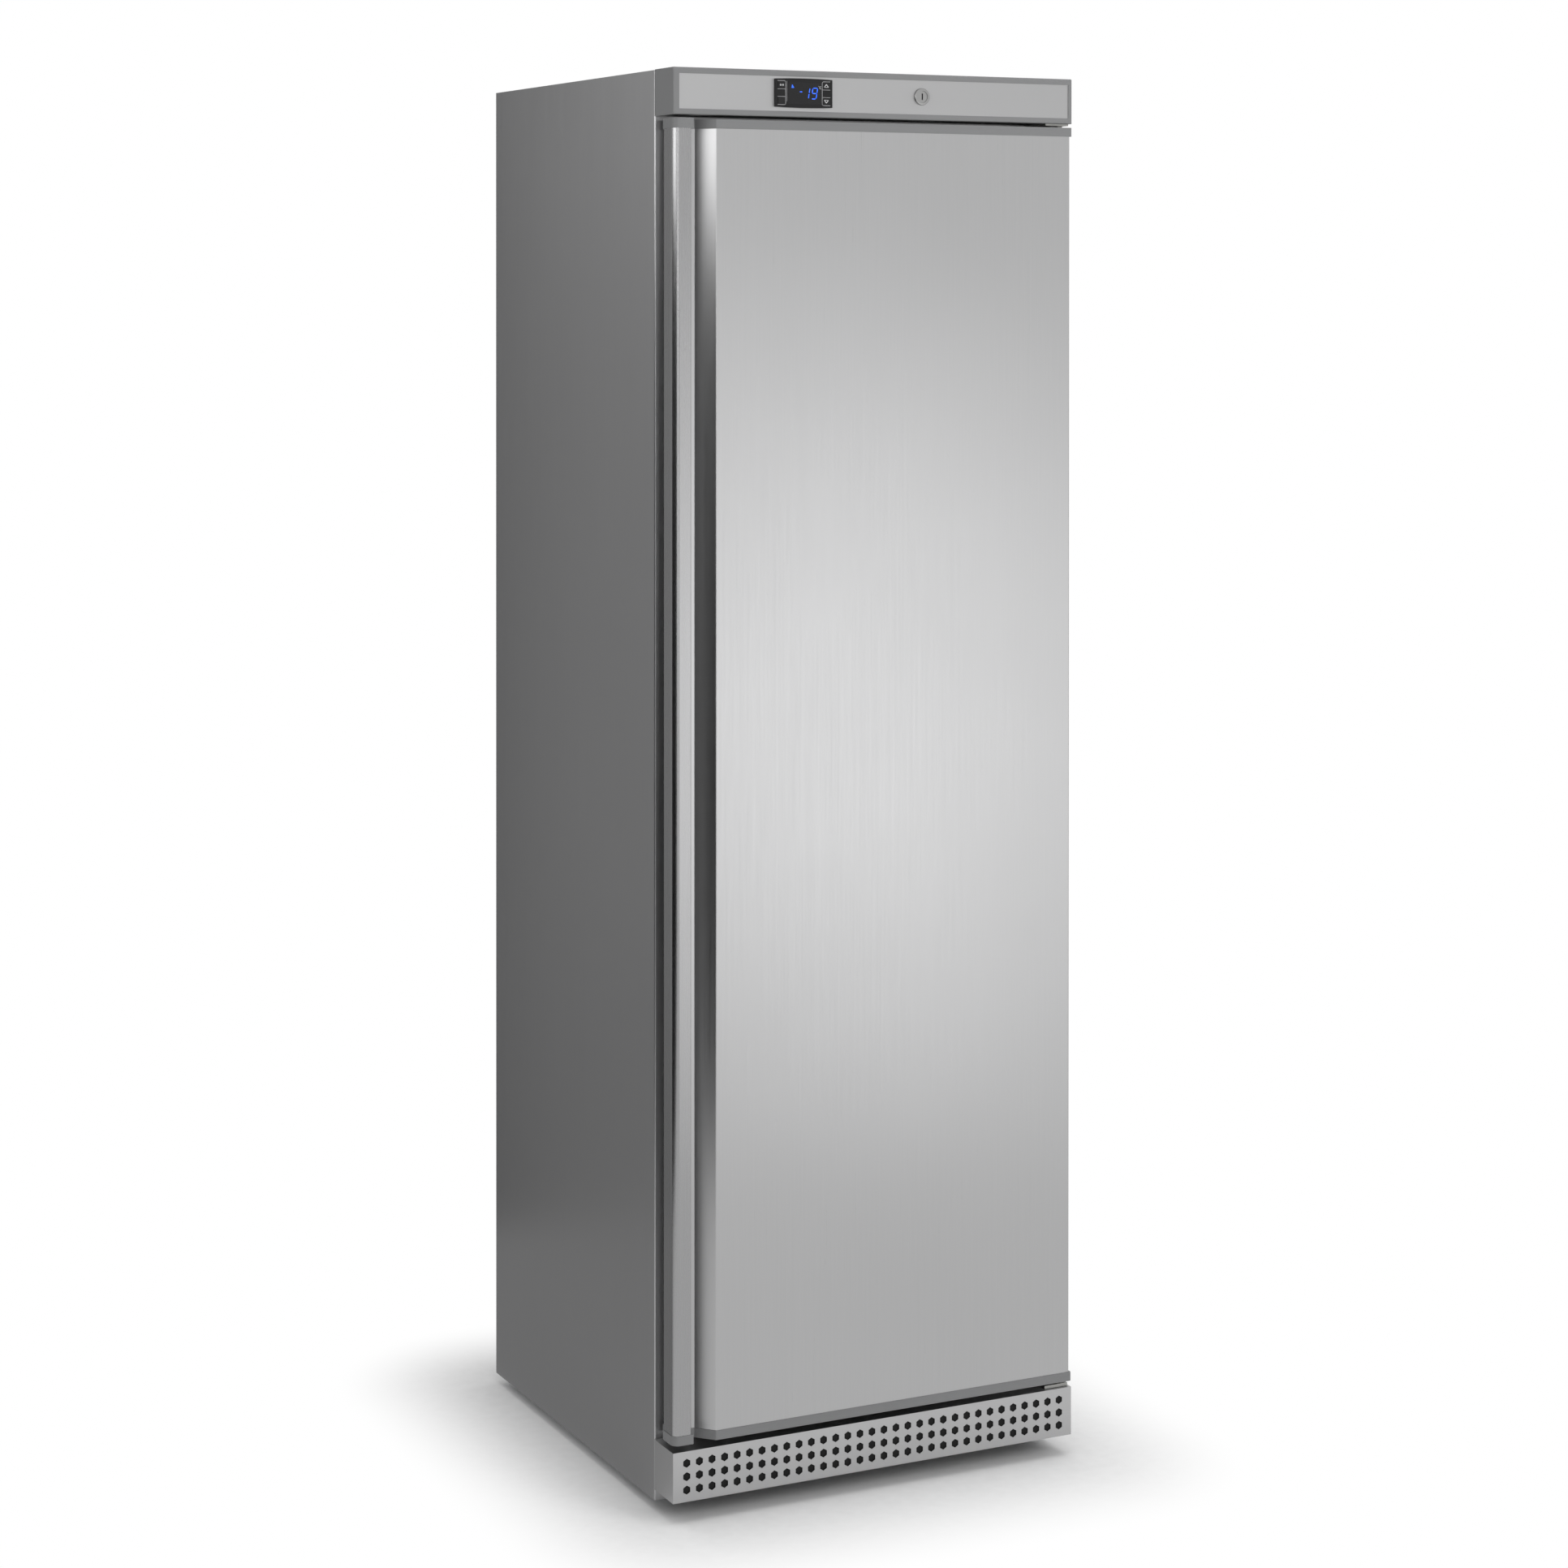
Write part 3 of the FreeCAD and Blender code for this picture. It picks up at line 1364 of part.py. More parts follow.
def foot_nut(name, side):
    place = (RAIL_MIDDLE * side, FOOT_Y, LOW + d.rail_sheet)
    block = prism(name + "_hexagon", place, "z", 6, d.nut_flats / math.sqrt(3), d.nut_high)
    hole = cylinder(
        name + "_thread",
        (place[0], place[1], place[2] - OVER),
        "z",
        d.foot_stud + d.thread_play,
        d.nut_high + 2 * OVER,
    )
    return cut(name, block, [hole])


node(group("nuts", [foot_nut("left_nut", -1), foot_nut("right_nut", 1)]), "foot_nuts")

for foot_label, foot_side in (("levelling_foot_left", -1), ("levelling_foot_right", 1)):
    foot_place = (RAIL_MIDDLE * foot_side, FOOT_Y)
    foot_pad = prism(foot_label + "_pad", (*foot_place, 0), "z", 12, d.foot_pad, d.foot_pad_high)
    foot_stud = cylinder(
        foot_label + "_stud", (*foot_place, d.foot_pad_high), "z", d.foot_stud, d.foot_stud_long
    )
    node(fuse(foot_label + "_whole", [foot_pad, foot_stud]), foot_label)

for roller_label, roller_side in (("roller_left", -1), ("roller_right", 1)):
    roller_start = RAIL_MIDDLE * roller_side - d.roller_width / 2
    tyre = prism(
        roller_label + "_tyre", (roller_start, ROLLER_Y, AXLE_Z), "x", 24, d.roller_radius, d.roller_width
    )
    roller_hole = cylinder(
        roller_label + "_hole",
        (roller_start - OVER, ROLLER_Y, AXLE_Z),
        "x",
        d.axle_radius + d.axle_play,
        d.roller_width + 2 * OVER,
    )
    node(cut(roller_label + "_cut", tyre, [roller_hole]), roller_label)

axles = []
for axle_side in (-1, 1):
    axle_start = RAIL_MIDDLE * axle_side - d.rail_width / 2 + d.rail_sheet
    axle_length = d.rail_width - 2 * d.rail_sheet
    axles.append(
        cylinder("axle_%d" % len(axles), (axle_start, ROLLER_Y, AXLE_Z), "x", d.axle_radius, axle_length)
    )
node(group("axle_set", axles), "roller_axles")

# --- compressor bay ----------------------------------------------------------

PLATE_Z = RAIL_TOP
PLATE_TOP = PLATE_Z + d.plate_sheet
PLATE_Y = (BAY_Y + d.plate_gap, REAR - d.plate_end)
PLATE_HALF = INSIDE - d.rail_width + d.plate_seat
COMPRESSOR = (d.compressor_x, REAR - d.compressor_rear)
LEGS_Z = PLATE_TOP + d.grommet_high
SHELL_Z = LEGS_Z + d.leg_sheet

node(
    extruded(
        "bay_plate",
        "YZ_Plane",
        [
            (PLATE_Y[0], PLATE_Z),
            (PLATE_Y[1], PLATE_Z),
            (PLATE_Y[1], PLATE_Z + d.plate_lip),
            (PLATE_Y[1] - d.plate_sheet, PLATE_Z + d.plate_lip),
            (PLATE_Y[1] - d.plate_sheet, PLATE_TOP),
            (PLATE_Y[0] + d.plate_sheet, PLATE_TOP),
            (PLATE_Y[0] + d.plate_sheet, PLATE_Z + d.plate_lip),
            (PLATE_Y[0], PLATE_Z + d.plate_lip),
        ],
        -PLATE_HALF,
        PLATE_HALF,
    ),
    "compressor_plate",
)


def oval(grow):
    """The compressor's stadium outline, with chorded ends."""
    x, y = COMPRESSOR
    half = (d.shell_length - d.shell_width) / 2
    radius = d.shell_width / 2 + grow
    points = []
    for side, start in ((1, -math.pi / 2), (-1, math.pi / 2)):
        centre = (x + half * side, y)
        points.append((centre[0], y - radius * side))
        points += turn_points(centre, radius, start, math.pi, SHELL_CHORDS)
    return points


SHELL_CHORDS = 10


def rim_chamfer(owner, heights, size):
    """Bevels the body's rims at the given heights."""
    doc.recompute()
    base = owner.Tip
    names = []
    for i, edge in enumerate(base.Shape.Edges, start=1):
        bounds = edge.BoundBox
        for height in heights:
            if max(abs(bounds.ZMin - height.value), abs(bounds.ZMax - height.value)) < 1e-3:
                names.append("Edge%d" % i)
    made = owner.newObject("PartDesign::Chamfer", base.Name + "_bevel")
    made.Base = (base, names)
    bind(made, "Size", size)


shell = body("compressor_shell")
SHELL_TOP = SHELL_Z + d.shell_height
shell_outline = sketch(shell, "XY_Plane", SHELL_Z, "shell_outline")
polygon(shell_outline, oval(as_size(0)))
pad(shell, shell_outline, d.shell_height, "shell_pad")
rim_chamfer(shell, [SHELL_TOP], d.shell_round)
rim_chamfer(shell, [SHELL_TOP, SHELL_TOP - d.shell_round], d.shell_rim)
rim_chamfer(shell, [SHELL_Z], d.shell_low_bevel)
seam_outline = sketch(shell, "XY_Plane", SHELL_Z + d.seam_height, "seam_outline")
polygon(seam_outline, oval(d.seam_proud))
pad(shell, seam_outline, d.seam_thick, "shell_seam")
node(shell, "compressor")

legs_half = (d.leg_spread_x + d.leg_border, d.leg_spread_y + d.leg_border)
legs_blank = box(
    "legs_blank",
    (COMPRESSOR[0] - legs_half[0], COMPRESSOR[0] + legs_half[0]),
    (COMPRESSOR[1] - legs_half[1], COMPRESSOR[1] + legs_half[1]),
    (LEGS_Z, SHELL_Z),
)
corners = [
    (COMPRESSOR[0] + d.leg_spread_x * side, COMPRESSOR[1] + d.leg_spread_y * end)
    for side in (-1, 1)
    for end in (-1, 1)
]
bolt_hole = d.bolt_radius + d.bolt_play
leg_holes = [
    prism("leg_hole_%d" % i, (x, y, LEGS_Z - OVER), "z", 6, bolt_hole, d.leg_sheet + 2 * OVER)
    for i, (x, y) in enumerate(corners)
]
node(cut("legs_cut", legs_blank, leg_holes), "compressor_legs")


def grommet(i, place):
    x, y = place
    ring = prism("grommet_ring_%d" % i, (x, y, PLATE_TOP), "z", 8, d.grommet_radius, d.grommet_high)
    depth = d.grommet_high + 2 * OVER
    hole = prism("grommet_hole_%d" % i, (x, y, PLATE_TOP - OVER), "z", 6, bolt_hole, depth)
    return cut("grommet_%d" % i, ring, [hole])


def bay_bolt(i, place):
    x, y = place
    shank = prism("bolt_shank_%d" % i, (x, y, PLATE_TOP), "z", 6, d.bolt_radius, SHELL_Z - PLATE_TOP)
    head = prism("bolt_head_%d" % i, (x, y, SHELL_Z), "z", 6, d.bolt_head, d.bolt_head_high)
    return fuse("bolt_%d" % i, [shank, head])


node(group("grommet_set", [grommet(i, place) for i, place in enumerate(corners)]), "compressor_grommets")
node(group("bolt_set", [bay_bolt(i, place) for i, place in enumerate(corners)]), "compressor_bolts")

SHELL_EAST = COMPRESSOR[0] + d.shell_length / 2
relay_block = box(
    "relay_block",
    (SHELL_EAST - d.relay_deep / 2, SHELL_EAST + d.relay_reach),
    (COMPRESSOR[1] - d.relay_width / 2, COMPRESSOR[1] + d.relay_width / 2),
    (SHELL_Z + d.leg_sheet + d.bolt_head_high, SHELL_Z + d.leg_sheet + d.bolt_head_high + d.relay_high),
)
node(cut("relay_cover", relay_block, [shell]), "relay_box")

# --- condenser and refrigerant lines -----------------------------------------

CONDENSER_Y = BACK + d.condenser_gap
CONDENSER_LOW = LOW + d.condenser_low
CONDENSER_HIGH = CONDENSER_LOW + d.condenser_pitch * (d.condenser_runs.value - 1)
CONDENSER_HALF = RIGHT - d.condenser_edge
CONDENSER_TURN = CONDENSER_HALF - d.condenser_pitch / 2
coil = body("condenser_tube_body")
coil_path = sketch(coil, "XZ_Plane", -CONDENSER_Y, "condenser_path")
coil_points = serpentine(
    -CONDENSER_TURN, CONDENSER_TURN, CONDENSER_LOW, d.condenser_pitch, d.condenser_runs.value
)
spine(coil_path, coil_points)
coil_section = sketch(coil, "YZ_Plane", -CONDENSER_TURN, "condenser_section")
polygon(coil_section, regular(d.condenser_tube, TUBE_SIDES, (CONDENSER_Y, CONDENSER_LOW)))
piped(coil, coil_path, coil_section, "condenser_pipe")
node(coil, "condenser_coil")

condenser_wires = []
tube_flat = d.condenser_tube * TUBE_FLAT
for wire_side in (-1, 1):
    for i in range(d.condenser_wires.value):
        across = (CONDENSER_TURN - d.condenser_tube) * (2 * i / (d.condenser_wires.value - 1) - 1)
        near = CONDENSER_Y + (tube_flat * wire_side if wire_side > 0 else -tube_flat - d.condenser_wire)
        condenser_wires.append(
            box(
                "condenser_wire_%d" % len(condenser_wires),
                (across - d.condenser_wire / 2, across + d.condenser_wire / 2),
                (near, near + d.condenser_wire),
                (CONDENSER_LOW - d.condenser_overhang, CONDENSER_HIGH + d.condenser_overhang),
            )
        )
node(group("condenser_grid", condenser_wires), "condenser_wires")

STANDOFF_ROWS = 4
last_run = d.condenser_runs.value - 1
standoff_runs = [round(last_run * row / (STANDOFF_ROWS - 1)) for row in range(STANDOFF_ROWS)]
standoffs = []
for side in (-1, 1):
    for run in standoff_runs:
        height = CONDENSER_LOW + d.condenser_pitch * run
        across = (CONDENSER_HALF - d.standoff_inset) * side
        tube_room = (across - d.standoff_width / 2, across + d.standoff_width / 2)
        standoffs.append(
            box(
                "standoff_%d" % len(standoffs),
                tube_room,
                (BACK, CONDENSER_Y - d.condenser_tube - d.condenser_wire),
                (height - d.standoff_high / 2, height + d.standoff_high / 2),
            )
        )
node(group("standoff_set", standoffs), "condenser_standoffs")

discharge_x = COMPRESSOR[0] - d.shell_length / 2 + d.discharge_inset
DISCHARGE_Z = SHELL_TOP + d.discharge_rise
RISER_X = -(CONDENSER_HALF + d.line_bend)
node(
    bent_tube(
        "discharge_line",
        [
            (discharge_x, COMPRESSOR[1], SHELL_TOP),
            (discharge_x, COMPRESSOR[1], DISCHARGE_Z),
            (discharge_x, CONDENSER_Y, DISCHARGE_Z),
            (RISER_X, CONDENSER_Y, DISCHARGE_Z),
            (RISER_X, CONDENSER_Y, CONDENSER_HIGH),
            (-CONDENSER_TURN, CONDENSER_Y, CONDENSER_HIGH),
        ],
        d.line_bend,
        d.condenser_tube,
        TUBE_SIDES,
    ),
    "discharge_tube",
)

suction_x = COMPRESSOR[0]
SUCTION_Z = SHELL_TOP + d.suction_rise
node(
    bent_tube(
        "suction_line",
        [
            (suction_x, COMPRESSOR[1], SHELL_TOP),
            (suction_x, COMPRESSOR[1], SUCTION_Z),
            (suction_x, BAY_Y, SUCTION_Z),
        ],
        d.suction_bend,
        d.suction_radius,
        TUBE_SIDES,
    ),
    "suction_tube",
)

DRIER_Y = BAY_Y + d.drier_radius + d.drier_play
neck = d.drier_neck
drier = body("drier_body")
drier_base = PLATE_TOP + d.drier_lift
drier_outline = sketch(drier, "XY_Plane", drier_base, "drier_outline")
polygon(drier_outline, regular(d.drier_radius, 10, (d.drier_x, DRIER_Y)))
pad(drier, drier_outline, d.drier_length, "drier_pad")
rim_chamfer(drier, [drier_base, drier_base + d.drier_length], d.drier_bevel)
drier_neck = prism(
    "drier_neck",
    (d.drier_x, DRIER_Y, drier_base - neck),
    "z",
    TUBE_SIDES,
    d.line_radius,
    d.drier_length + 2 * neck,
)
node(fuse("drier_whole", [drier, drier_neck]), "filter_drier")
DRIER_TOP = drier_base + d.drier_length + neck
LIQUID_X = -(CONDENSER_TURN + d.liquid_reach)
LIQUID_Z = SHELL_TOP + d.liquid_rise
node(
    bent_tube(
        "liquid_line",
        [
            (d.drier_x, DRIER_Y, DRIER_TOP),
            (d.drier_x, DRIER_Y, LIQUID_Z),
            (d.drier_x, CONDENSER_Y, LIQUID_Z),
            (LIQUID_X, CONDENSER_Y, LIQUID_Z),
            (LIQUID_X, CONDENSER_Y, CONDENSER_LOW),
            (-CONDENSER_TURN, CONDENSER_Y, CONDENSER_LOW),
        ],
        d.line_bend,
        d.condenser_tube,
        TUBE_SIDES,
    ),
    "liquid_tube",
)

TERMINAL_X = (PLATE_HALF - d.terminal_edge - d.terminal_width, PLATE_HALF - d.terminal_edge)
TERMINAL_Y = (REAR - d.terminal_end - d.terminal_deep, REAR - d.terminal_end)
TERMINAL_Z = (PLATE_TOP, PLATE_TOP + d.terminal_high)
node(box("terminal_case", TERMINAL_X, TERMINAL_Y, TERMINAL_Z), "terminal_box")
GLAND = ((TERMINAL_X[0] + TERMINAL_X[1]) / 2, TERMINAL_Y[1], PLATE_TOP + d.gland_height)
gland_nut = prism("gland_nut", GLAND, "y", 6, d.gland_radius, d.gland_nut_length)
gland_neck = prism("gland_neck", GLAND, "y", 8, d.gland_neck_radius, d.gland_length)
gland_hole = prism(
    "gland_hole", (GLAND[0], GLAND[1] + d.gland_seat, GLAND[2]), "y", 8, d.gland_bore, d.gland_length
)
node(cut("gland_cut", fuse("gland_blank", [gland_nut, gland_neck]), [gland_hole]), "cord_gland")

# --- check and write ---------------------------------------------------------

doc.recompute()
failed = [item.Name for item in doc.Objects if {"Invalid", "Error"} & set(item.State)]
if failed:
    raise RuntimeError("failed objects: " + ", ".join(failed))
labels = [made.Label for made in NODES]
if len(set(labels)) != len(labels) or not all(re.fullmatch("[a-z_]{1,59}", label) for label in labels):
    raise RuntimeError("sub-part names clash or are malformed")
for made in NODES:
    if made.Shape.isNull() or not made.Shape.isValid() or not made.Shape.Solids:
        raise RuntimeError("bad shape: " + made.Label)

os.makedirs("parts", exist_ok=True)
for made in NODES:
    made.Shape.exportStep("parts/%s.step" % made.Label)
print("%d sub-parts, %d solids" % (len(NODES), sum(len(made.Shape.Solids) for made in NODES)))
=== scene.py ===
import json
import math

import bmesh
import bpy
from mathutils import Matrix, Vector


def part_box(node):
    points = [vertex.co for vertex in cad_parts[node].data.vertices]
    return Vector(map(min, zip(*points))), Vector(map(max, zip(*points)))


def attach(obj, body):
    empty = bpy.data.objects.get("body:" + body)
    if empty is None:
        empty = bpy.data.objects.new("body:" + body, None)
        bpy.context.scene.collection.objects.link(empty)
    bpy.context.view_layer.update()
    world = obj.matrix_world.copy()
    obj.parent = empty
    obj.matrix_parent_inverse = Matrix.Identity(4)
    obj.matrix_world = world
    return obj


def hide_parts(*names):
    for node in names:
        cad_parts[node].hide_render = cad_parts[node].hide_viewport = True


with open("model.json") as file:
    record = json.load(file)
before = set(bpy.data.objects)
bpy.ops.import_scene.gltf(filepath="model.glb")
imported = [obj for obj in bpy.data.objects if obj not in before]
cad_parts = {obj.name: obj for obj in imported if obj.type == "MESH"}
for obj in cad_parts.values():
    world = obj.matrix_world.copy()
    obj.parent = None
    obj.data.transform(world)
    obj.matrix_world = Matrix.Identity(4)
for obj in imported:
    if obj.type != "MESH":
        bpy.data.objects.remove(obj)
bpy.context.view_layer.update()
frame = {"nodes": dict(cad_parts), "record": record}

NODES = frame["nodes"]
SCENE = bpy.context.scene
MM = 1000  # millimetres in a metre

# ---------------------------------------------------------------- camera

# fitted to twelve corners and one row of grille holes in the photograph
camera_data = bpy.data.cameras.new("camera")
camera_data.sensor_width = 36.0
camera_data.lens = 72.405
camera_data.shift_x = 0.13035
camera_data.shift_y = -0.30596
camera_data.clip_end = 60.0
camera = bpy.data.objects.new("camera", camera_data)
SCENE.collection.objects.link(camera)
camera.location = (-2.063565, -3.909244, 1.581918)
YAW, PITCH = 0.424, -0.005
heading = Vector((math.sin(YAW) * math.cos(PITCH), math.cos(YAW) * math.cos(PITCH), math.sin(PITCH)))
camera.rotation_mode = "QUATERNION"
camera.rotation_quaternion = heading.to_track_quat("-Z", "Y")
SCENE.camera = camera
SCENE.view_settings.view_transform = "Standard"

# ---------------------------------------------------------------- node helpers


class Graph:
    """A material's node tree, with short calls for the nodes used here."""

    def __init__(self, name):
        self.material = bpy.data.materials.new(name)
        self.material.use_nodes = True
        self.tree = self.material.node_tree
        self.tree.nodes.clear()
        self.out = self.new("ShaderNodeOutputMaterial")
        self.coords = self.new("ShaderNodeTexCoord").outputs["Object"]

    def new(self, kind, **values):
        made = self.tree.nodes.new(kind)
        for key, value in values.items():
            setattr(made, key, value)
        return made

    def link(self, source, target):
        self.tree.links.new(source, target)

    def stretched(self, scale):
        mapping = self.new("ShaderNodeMapping")
        mapping.inputs["Scale"].default_value = scale
        self.link(self.coords, mapping.inputs["Vector"])
        return mapping.outputs["Vector"]

    def place(self):
        """The point's own x, y and z."""
        split = self.new("ShaderNodeSeparateXYZ")
        self.link(self.coords, split.inputs[0])
        return split.outputs

    def noise(self, scale, detail=3.0, roughness=0.6, stretch=(1, 1, 1)):
        made = self.new("ShaderNodeTexNoise")
        made.inputs["Scale"].default_value = scale
        made.inputs["Detail"].default_value = detail
        made.inputs["Roughness"].default_value = roughness
        self.link(self.stretched(stretch), made.inputs["Vector"])
        return made.outputs["Fac"]

    def range(self, value, low, high, start=0.0, end=1.0, **kind):
        """Maps start..end to low..high, and holds the ends."""
        made = self.new("ShaderNodeMapRange", **kind)
        made.inputs["From Min"].default_value = start
        made.inputs["From Max"].default_value = end
        made.inputs["To Min"].default_value = low
        made.inputs["To Max"].default_value = high
        self.link(value, made.inputs["Value"])
        return made.outputs["Result"]

    def math(self, operation, a, b=0.0):
        made = self.new("ShaderNodeMath", operation=operation)
        for socket, value in zip(made.inputs, (a, b)):
            if isinstance(value, (int, float)):
                socket.default_value = value
            else:
                self.link(value, socket)
        return made.outputs[0]

    def mix(self, factor, a, b):
        made = self.new("ShaderNodeMix", data_type="RGBA")
        self.link(factor, made.inputs[0])
        for socket, value in ((made.inputs[6], a), (made.inputs[7], b)):
            if isinstance(value, tuple):
                socket.default_value = (*value, 1.0)
            else:
                self.link(value, socket)
        return made.outputs[2]

    def bump(self, height, strength, distance):
        made = self.new("ShaderNodeBump")
        made.inputs["Strength"].default_value = strength
        made.inputs["Distance"].default_value = distance
        self.link(height, made.inputs["Height"])
        return made.outputs["Normal"]

    def surface(self, **sockets):
        shader = self.new("ShaderNodeBsdfPrincipled")
        for key, value in sockets.items():
            socket = shader.inputs[key.replace("_", " ")]
            if isinstance(value, bpy.types.NodeSocket):
                self.link(value, socket)
            elif isinstance(value, tuple) and len(value) == 3:
                socket.default_value = (*value, 1.0)
            else:
                socket.default_value = value
        self.link(shader.outputs[0], self.out.inputs["Surface"])
        return self.material


def shade(colour, factor):
    return tuple(channel * factor for channel in colour)


# ---------------------------------------------------------------- materials


def painted_hole_shade_mask(g, node, sheet=0.0012, rim=0.008):
    """1 on the walls of the punched holes in the node's front sheet, 0 elsewhere: the mask of the painted
    shade on the hole walls.
    """
    low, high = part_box(node)
    place = g.place()
    spans = (
        (low.x + rim, high.x - rim),
        (low.y + 0.00005, low.y + sheet + 0.0001),
        (low.z + rim, high.z - rim),
    )
    inside = 1.0
    for axis, (start, end) in enumerate(spans):
        for operation, edge in (("GREATER_THAN", start), ("LESS_THAN", end)):
            inside = g.math("MULTIPLY", g.math(operation, place[axis], edge), inside)
    return inside


def brushed(name, colour, roughness, grain=(1.0, 1.0, 0.006), contrast=0.05, cloud=0.05, hole_shade_node=None):
    """Brushed sheet with scratches and faint clouds, and painted shade, near black, on the hole walls of the
    node it is given.
    """
    g = Graph(name)
    fine = g.noise(2600.0, 2.0, 0.7, grain)
    coarse = g.noise(420.0, 3.0, 0.65, grain)
    clouds = g.noise(3.0, 3.0, 0.55)
    streak = g.math("ADD", g.math("MULTIPLY", fine, 0.6), g.math("MULTIPLY", coarse, 0.4))
    base = g.mix(
        g.range(streak, 0.0, 1.0, 0.3, 0.7), shade(colour, 1 - contrast), shade(colour, 1 + contrast)
    )
    base = g.mix(g.range(clouds, 0.0, cloud, 0.35, 0.7), base, shade(colour, 0.72))
    # painted shade: the walls of the punched holes are coloured near black so the holes read dark
    if hole_shade_node:
        base = g.mix(painted_hole_shade_mask(g, hole_shade_node), base, shade(colour, 0.03))
    rough = g.math(
        "ADD", g.range(streak, roughness - 0.05, roughness + 0.05, 0.3, 0.7), g.range(clouds, -0.015, 0.02)
    )
    tangent = g.new("ShaderNodeTangent", direction_type="RADIAL", axis="Z")
    return g.surface(
        Base_Color=base,
        Metallic=1.0,
        Roughness=rough,
        Anisotropic=0.75,
        Tangent=tangent.outputs[0],
        Normal=g.bump(streak, 0.05, 0.0002),
    )


def plastic(name, colour, roughness, grain=1500.0, strength=0.12, specular=0.5):
    """Moulded plastic: fine spark-eroded grain and slight shade drift."""
    g = Graph(name)
    speck = g.noise(grain, 2.0, 0.6)
    drift = g.noise(6.0, 2.0, 0.5)
    base = g.mix(g.range(drift, 0.0, 1.0, 0.3, 0.7), shade(colour, 0.98), shade(colour, 1.015))
    return g.surface(
        Base_Color=base,
        Roughness=g.range(speck, roughness - 0.05, roughness + 0.06, 0.3, 0.7),
        Specular_IOR_Level=specular,
        Normal=g.bump(speck, strength, 0.0002),
    )


def painted(name, colour, roughness, peel=0.1):
    """Paint or coating with orange peel and dulled patches."""
    g = Graph(name)
    ripple = g.noise(220.0, 2.0, 0.5)
    drift = g.noise(9.0, 3.0, 0.6)
    base = g.mix(g.range(drift, 0.0, 1.0, 0.3, 0.7), shade(colour, 0.9), shade(colour, 1.06))
    return g.surface(
        Base_Color=base,
        Roughness=g.range(drift, roughness - 0.05, roughness + 0.08, 0.3, 0.7),
        Normal=g.bump(ripple, peel, 0.0004),
    )


def spangled(name, colour, roughness):
    """Galvanised sheet with its crystal spangle."""
    g = Graph(name)
    cells = g.new("ShaderNodeTexVoronoi")
    cells.inputs["Scale"].default_value = 85.0
    g.link(g.stretched((1, 1, 1)), cells.inputs["Vector"])
    grey = g.new("ShaderNodeRGBToBW")
    g.link(cells.outputs["Color"], grey.inputs[0])
    tone = grey.outputs[0]
    return g.surface(
        Base_Color=g.mix(tone, shade(colour, 0.8), shade(colour, 1.12)),
        Metallic=0.9,
        Roughness=g.range(tone, roughness - 0.08, roughness + 0.1),
        Normal=g.bump(tone, 0.04, 0.0003),
    )


def bare_metal(name, colour, roughness, tarnish=0.25):
    """Copper, zinc plate or nickel with uneven tarnish and fine scratches."""
    g = Graph(name)
    stain = g.noise(38.0, 4.0, 0.65)
    scratch = g.noise(900.0, 2.0, 0.6, (1, 1, 0.15))
    return g.surface(
        Base_Color=g.mix(g.range(stain, 0.0, tarnish, 0.4, 0.75), colour, shade(colour, 0.45)),
        Metallic=1.0,
        Roughness=g.math("ADD", g.range(stain, roughness, roughness + 0.12), g.range(scratch, -0.03, 0.03)),
        Normal=g.bump(scratch, 0.05, 0.0001),
    )


def foamed(name, colour):
    """Open or rigid foam with fine cells and blotches."""
    g = Graph(name)
    cells = g.noise(700.0, 4.0, 0.7)
    blot = g.noise(14.0, 3.0, 0.6)
    base = g.mix(g.range(blot, 0.0, 1.0, 0.3, 0.7), shade(colour, 0.85), colour)
    return g.surface(Base_Color=base, Roughness=0.95, Normal=g.bump(cells, 0.6, 0.001))


def glowing(name, colour, strength):
    """A lit display segment whose glow is slightly uneven."""
    g = Graph(name)
    flicker = g.noise(900.0, 1.0, 0.5)
    tone = g.mix(g.range(flicker, 0.0, 1.0, 0.35, 0.65), shade(colour, 0.85), shade(colour, 1.1))
    return g.surface(Base_Color=tone, Roughness=0.4, Emission_Color=tone, Emission_Strength=strength)


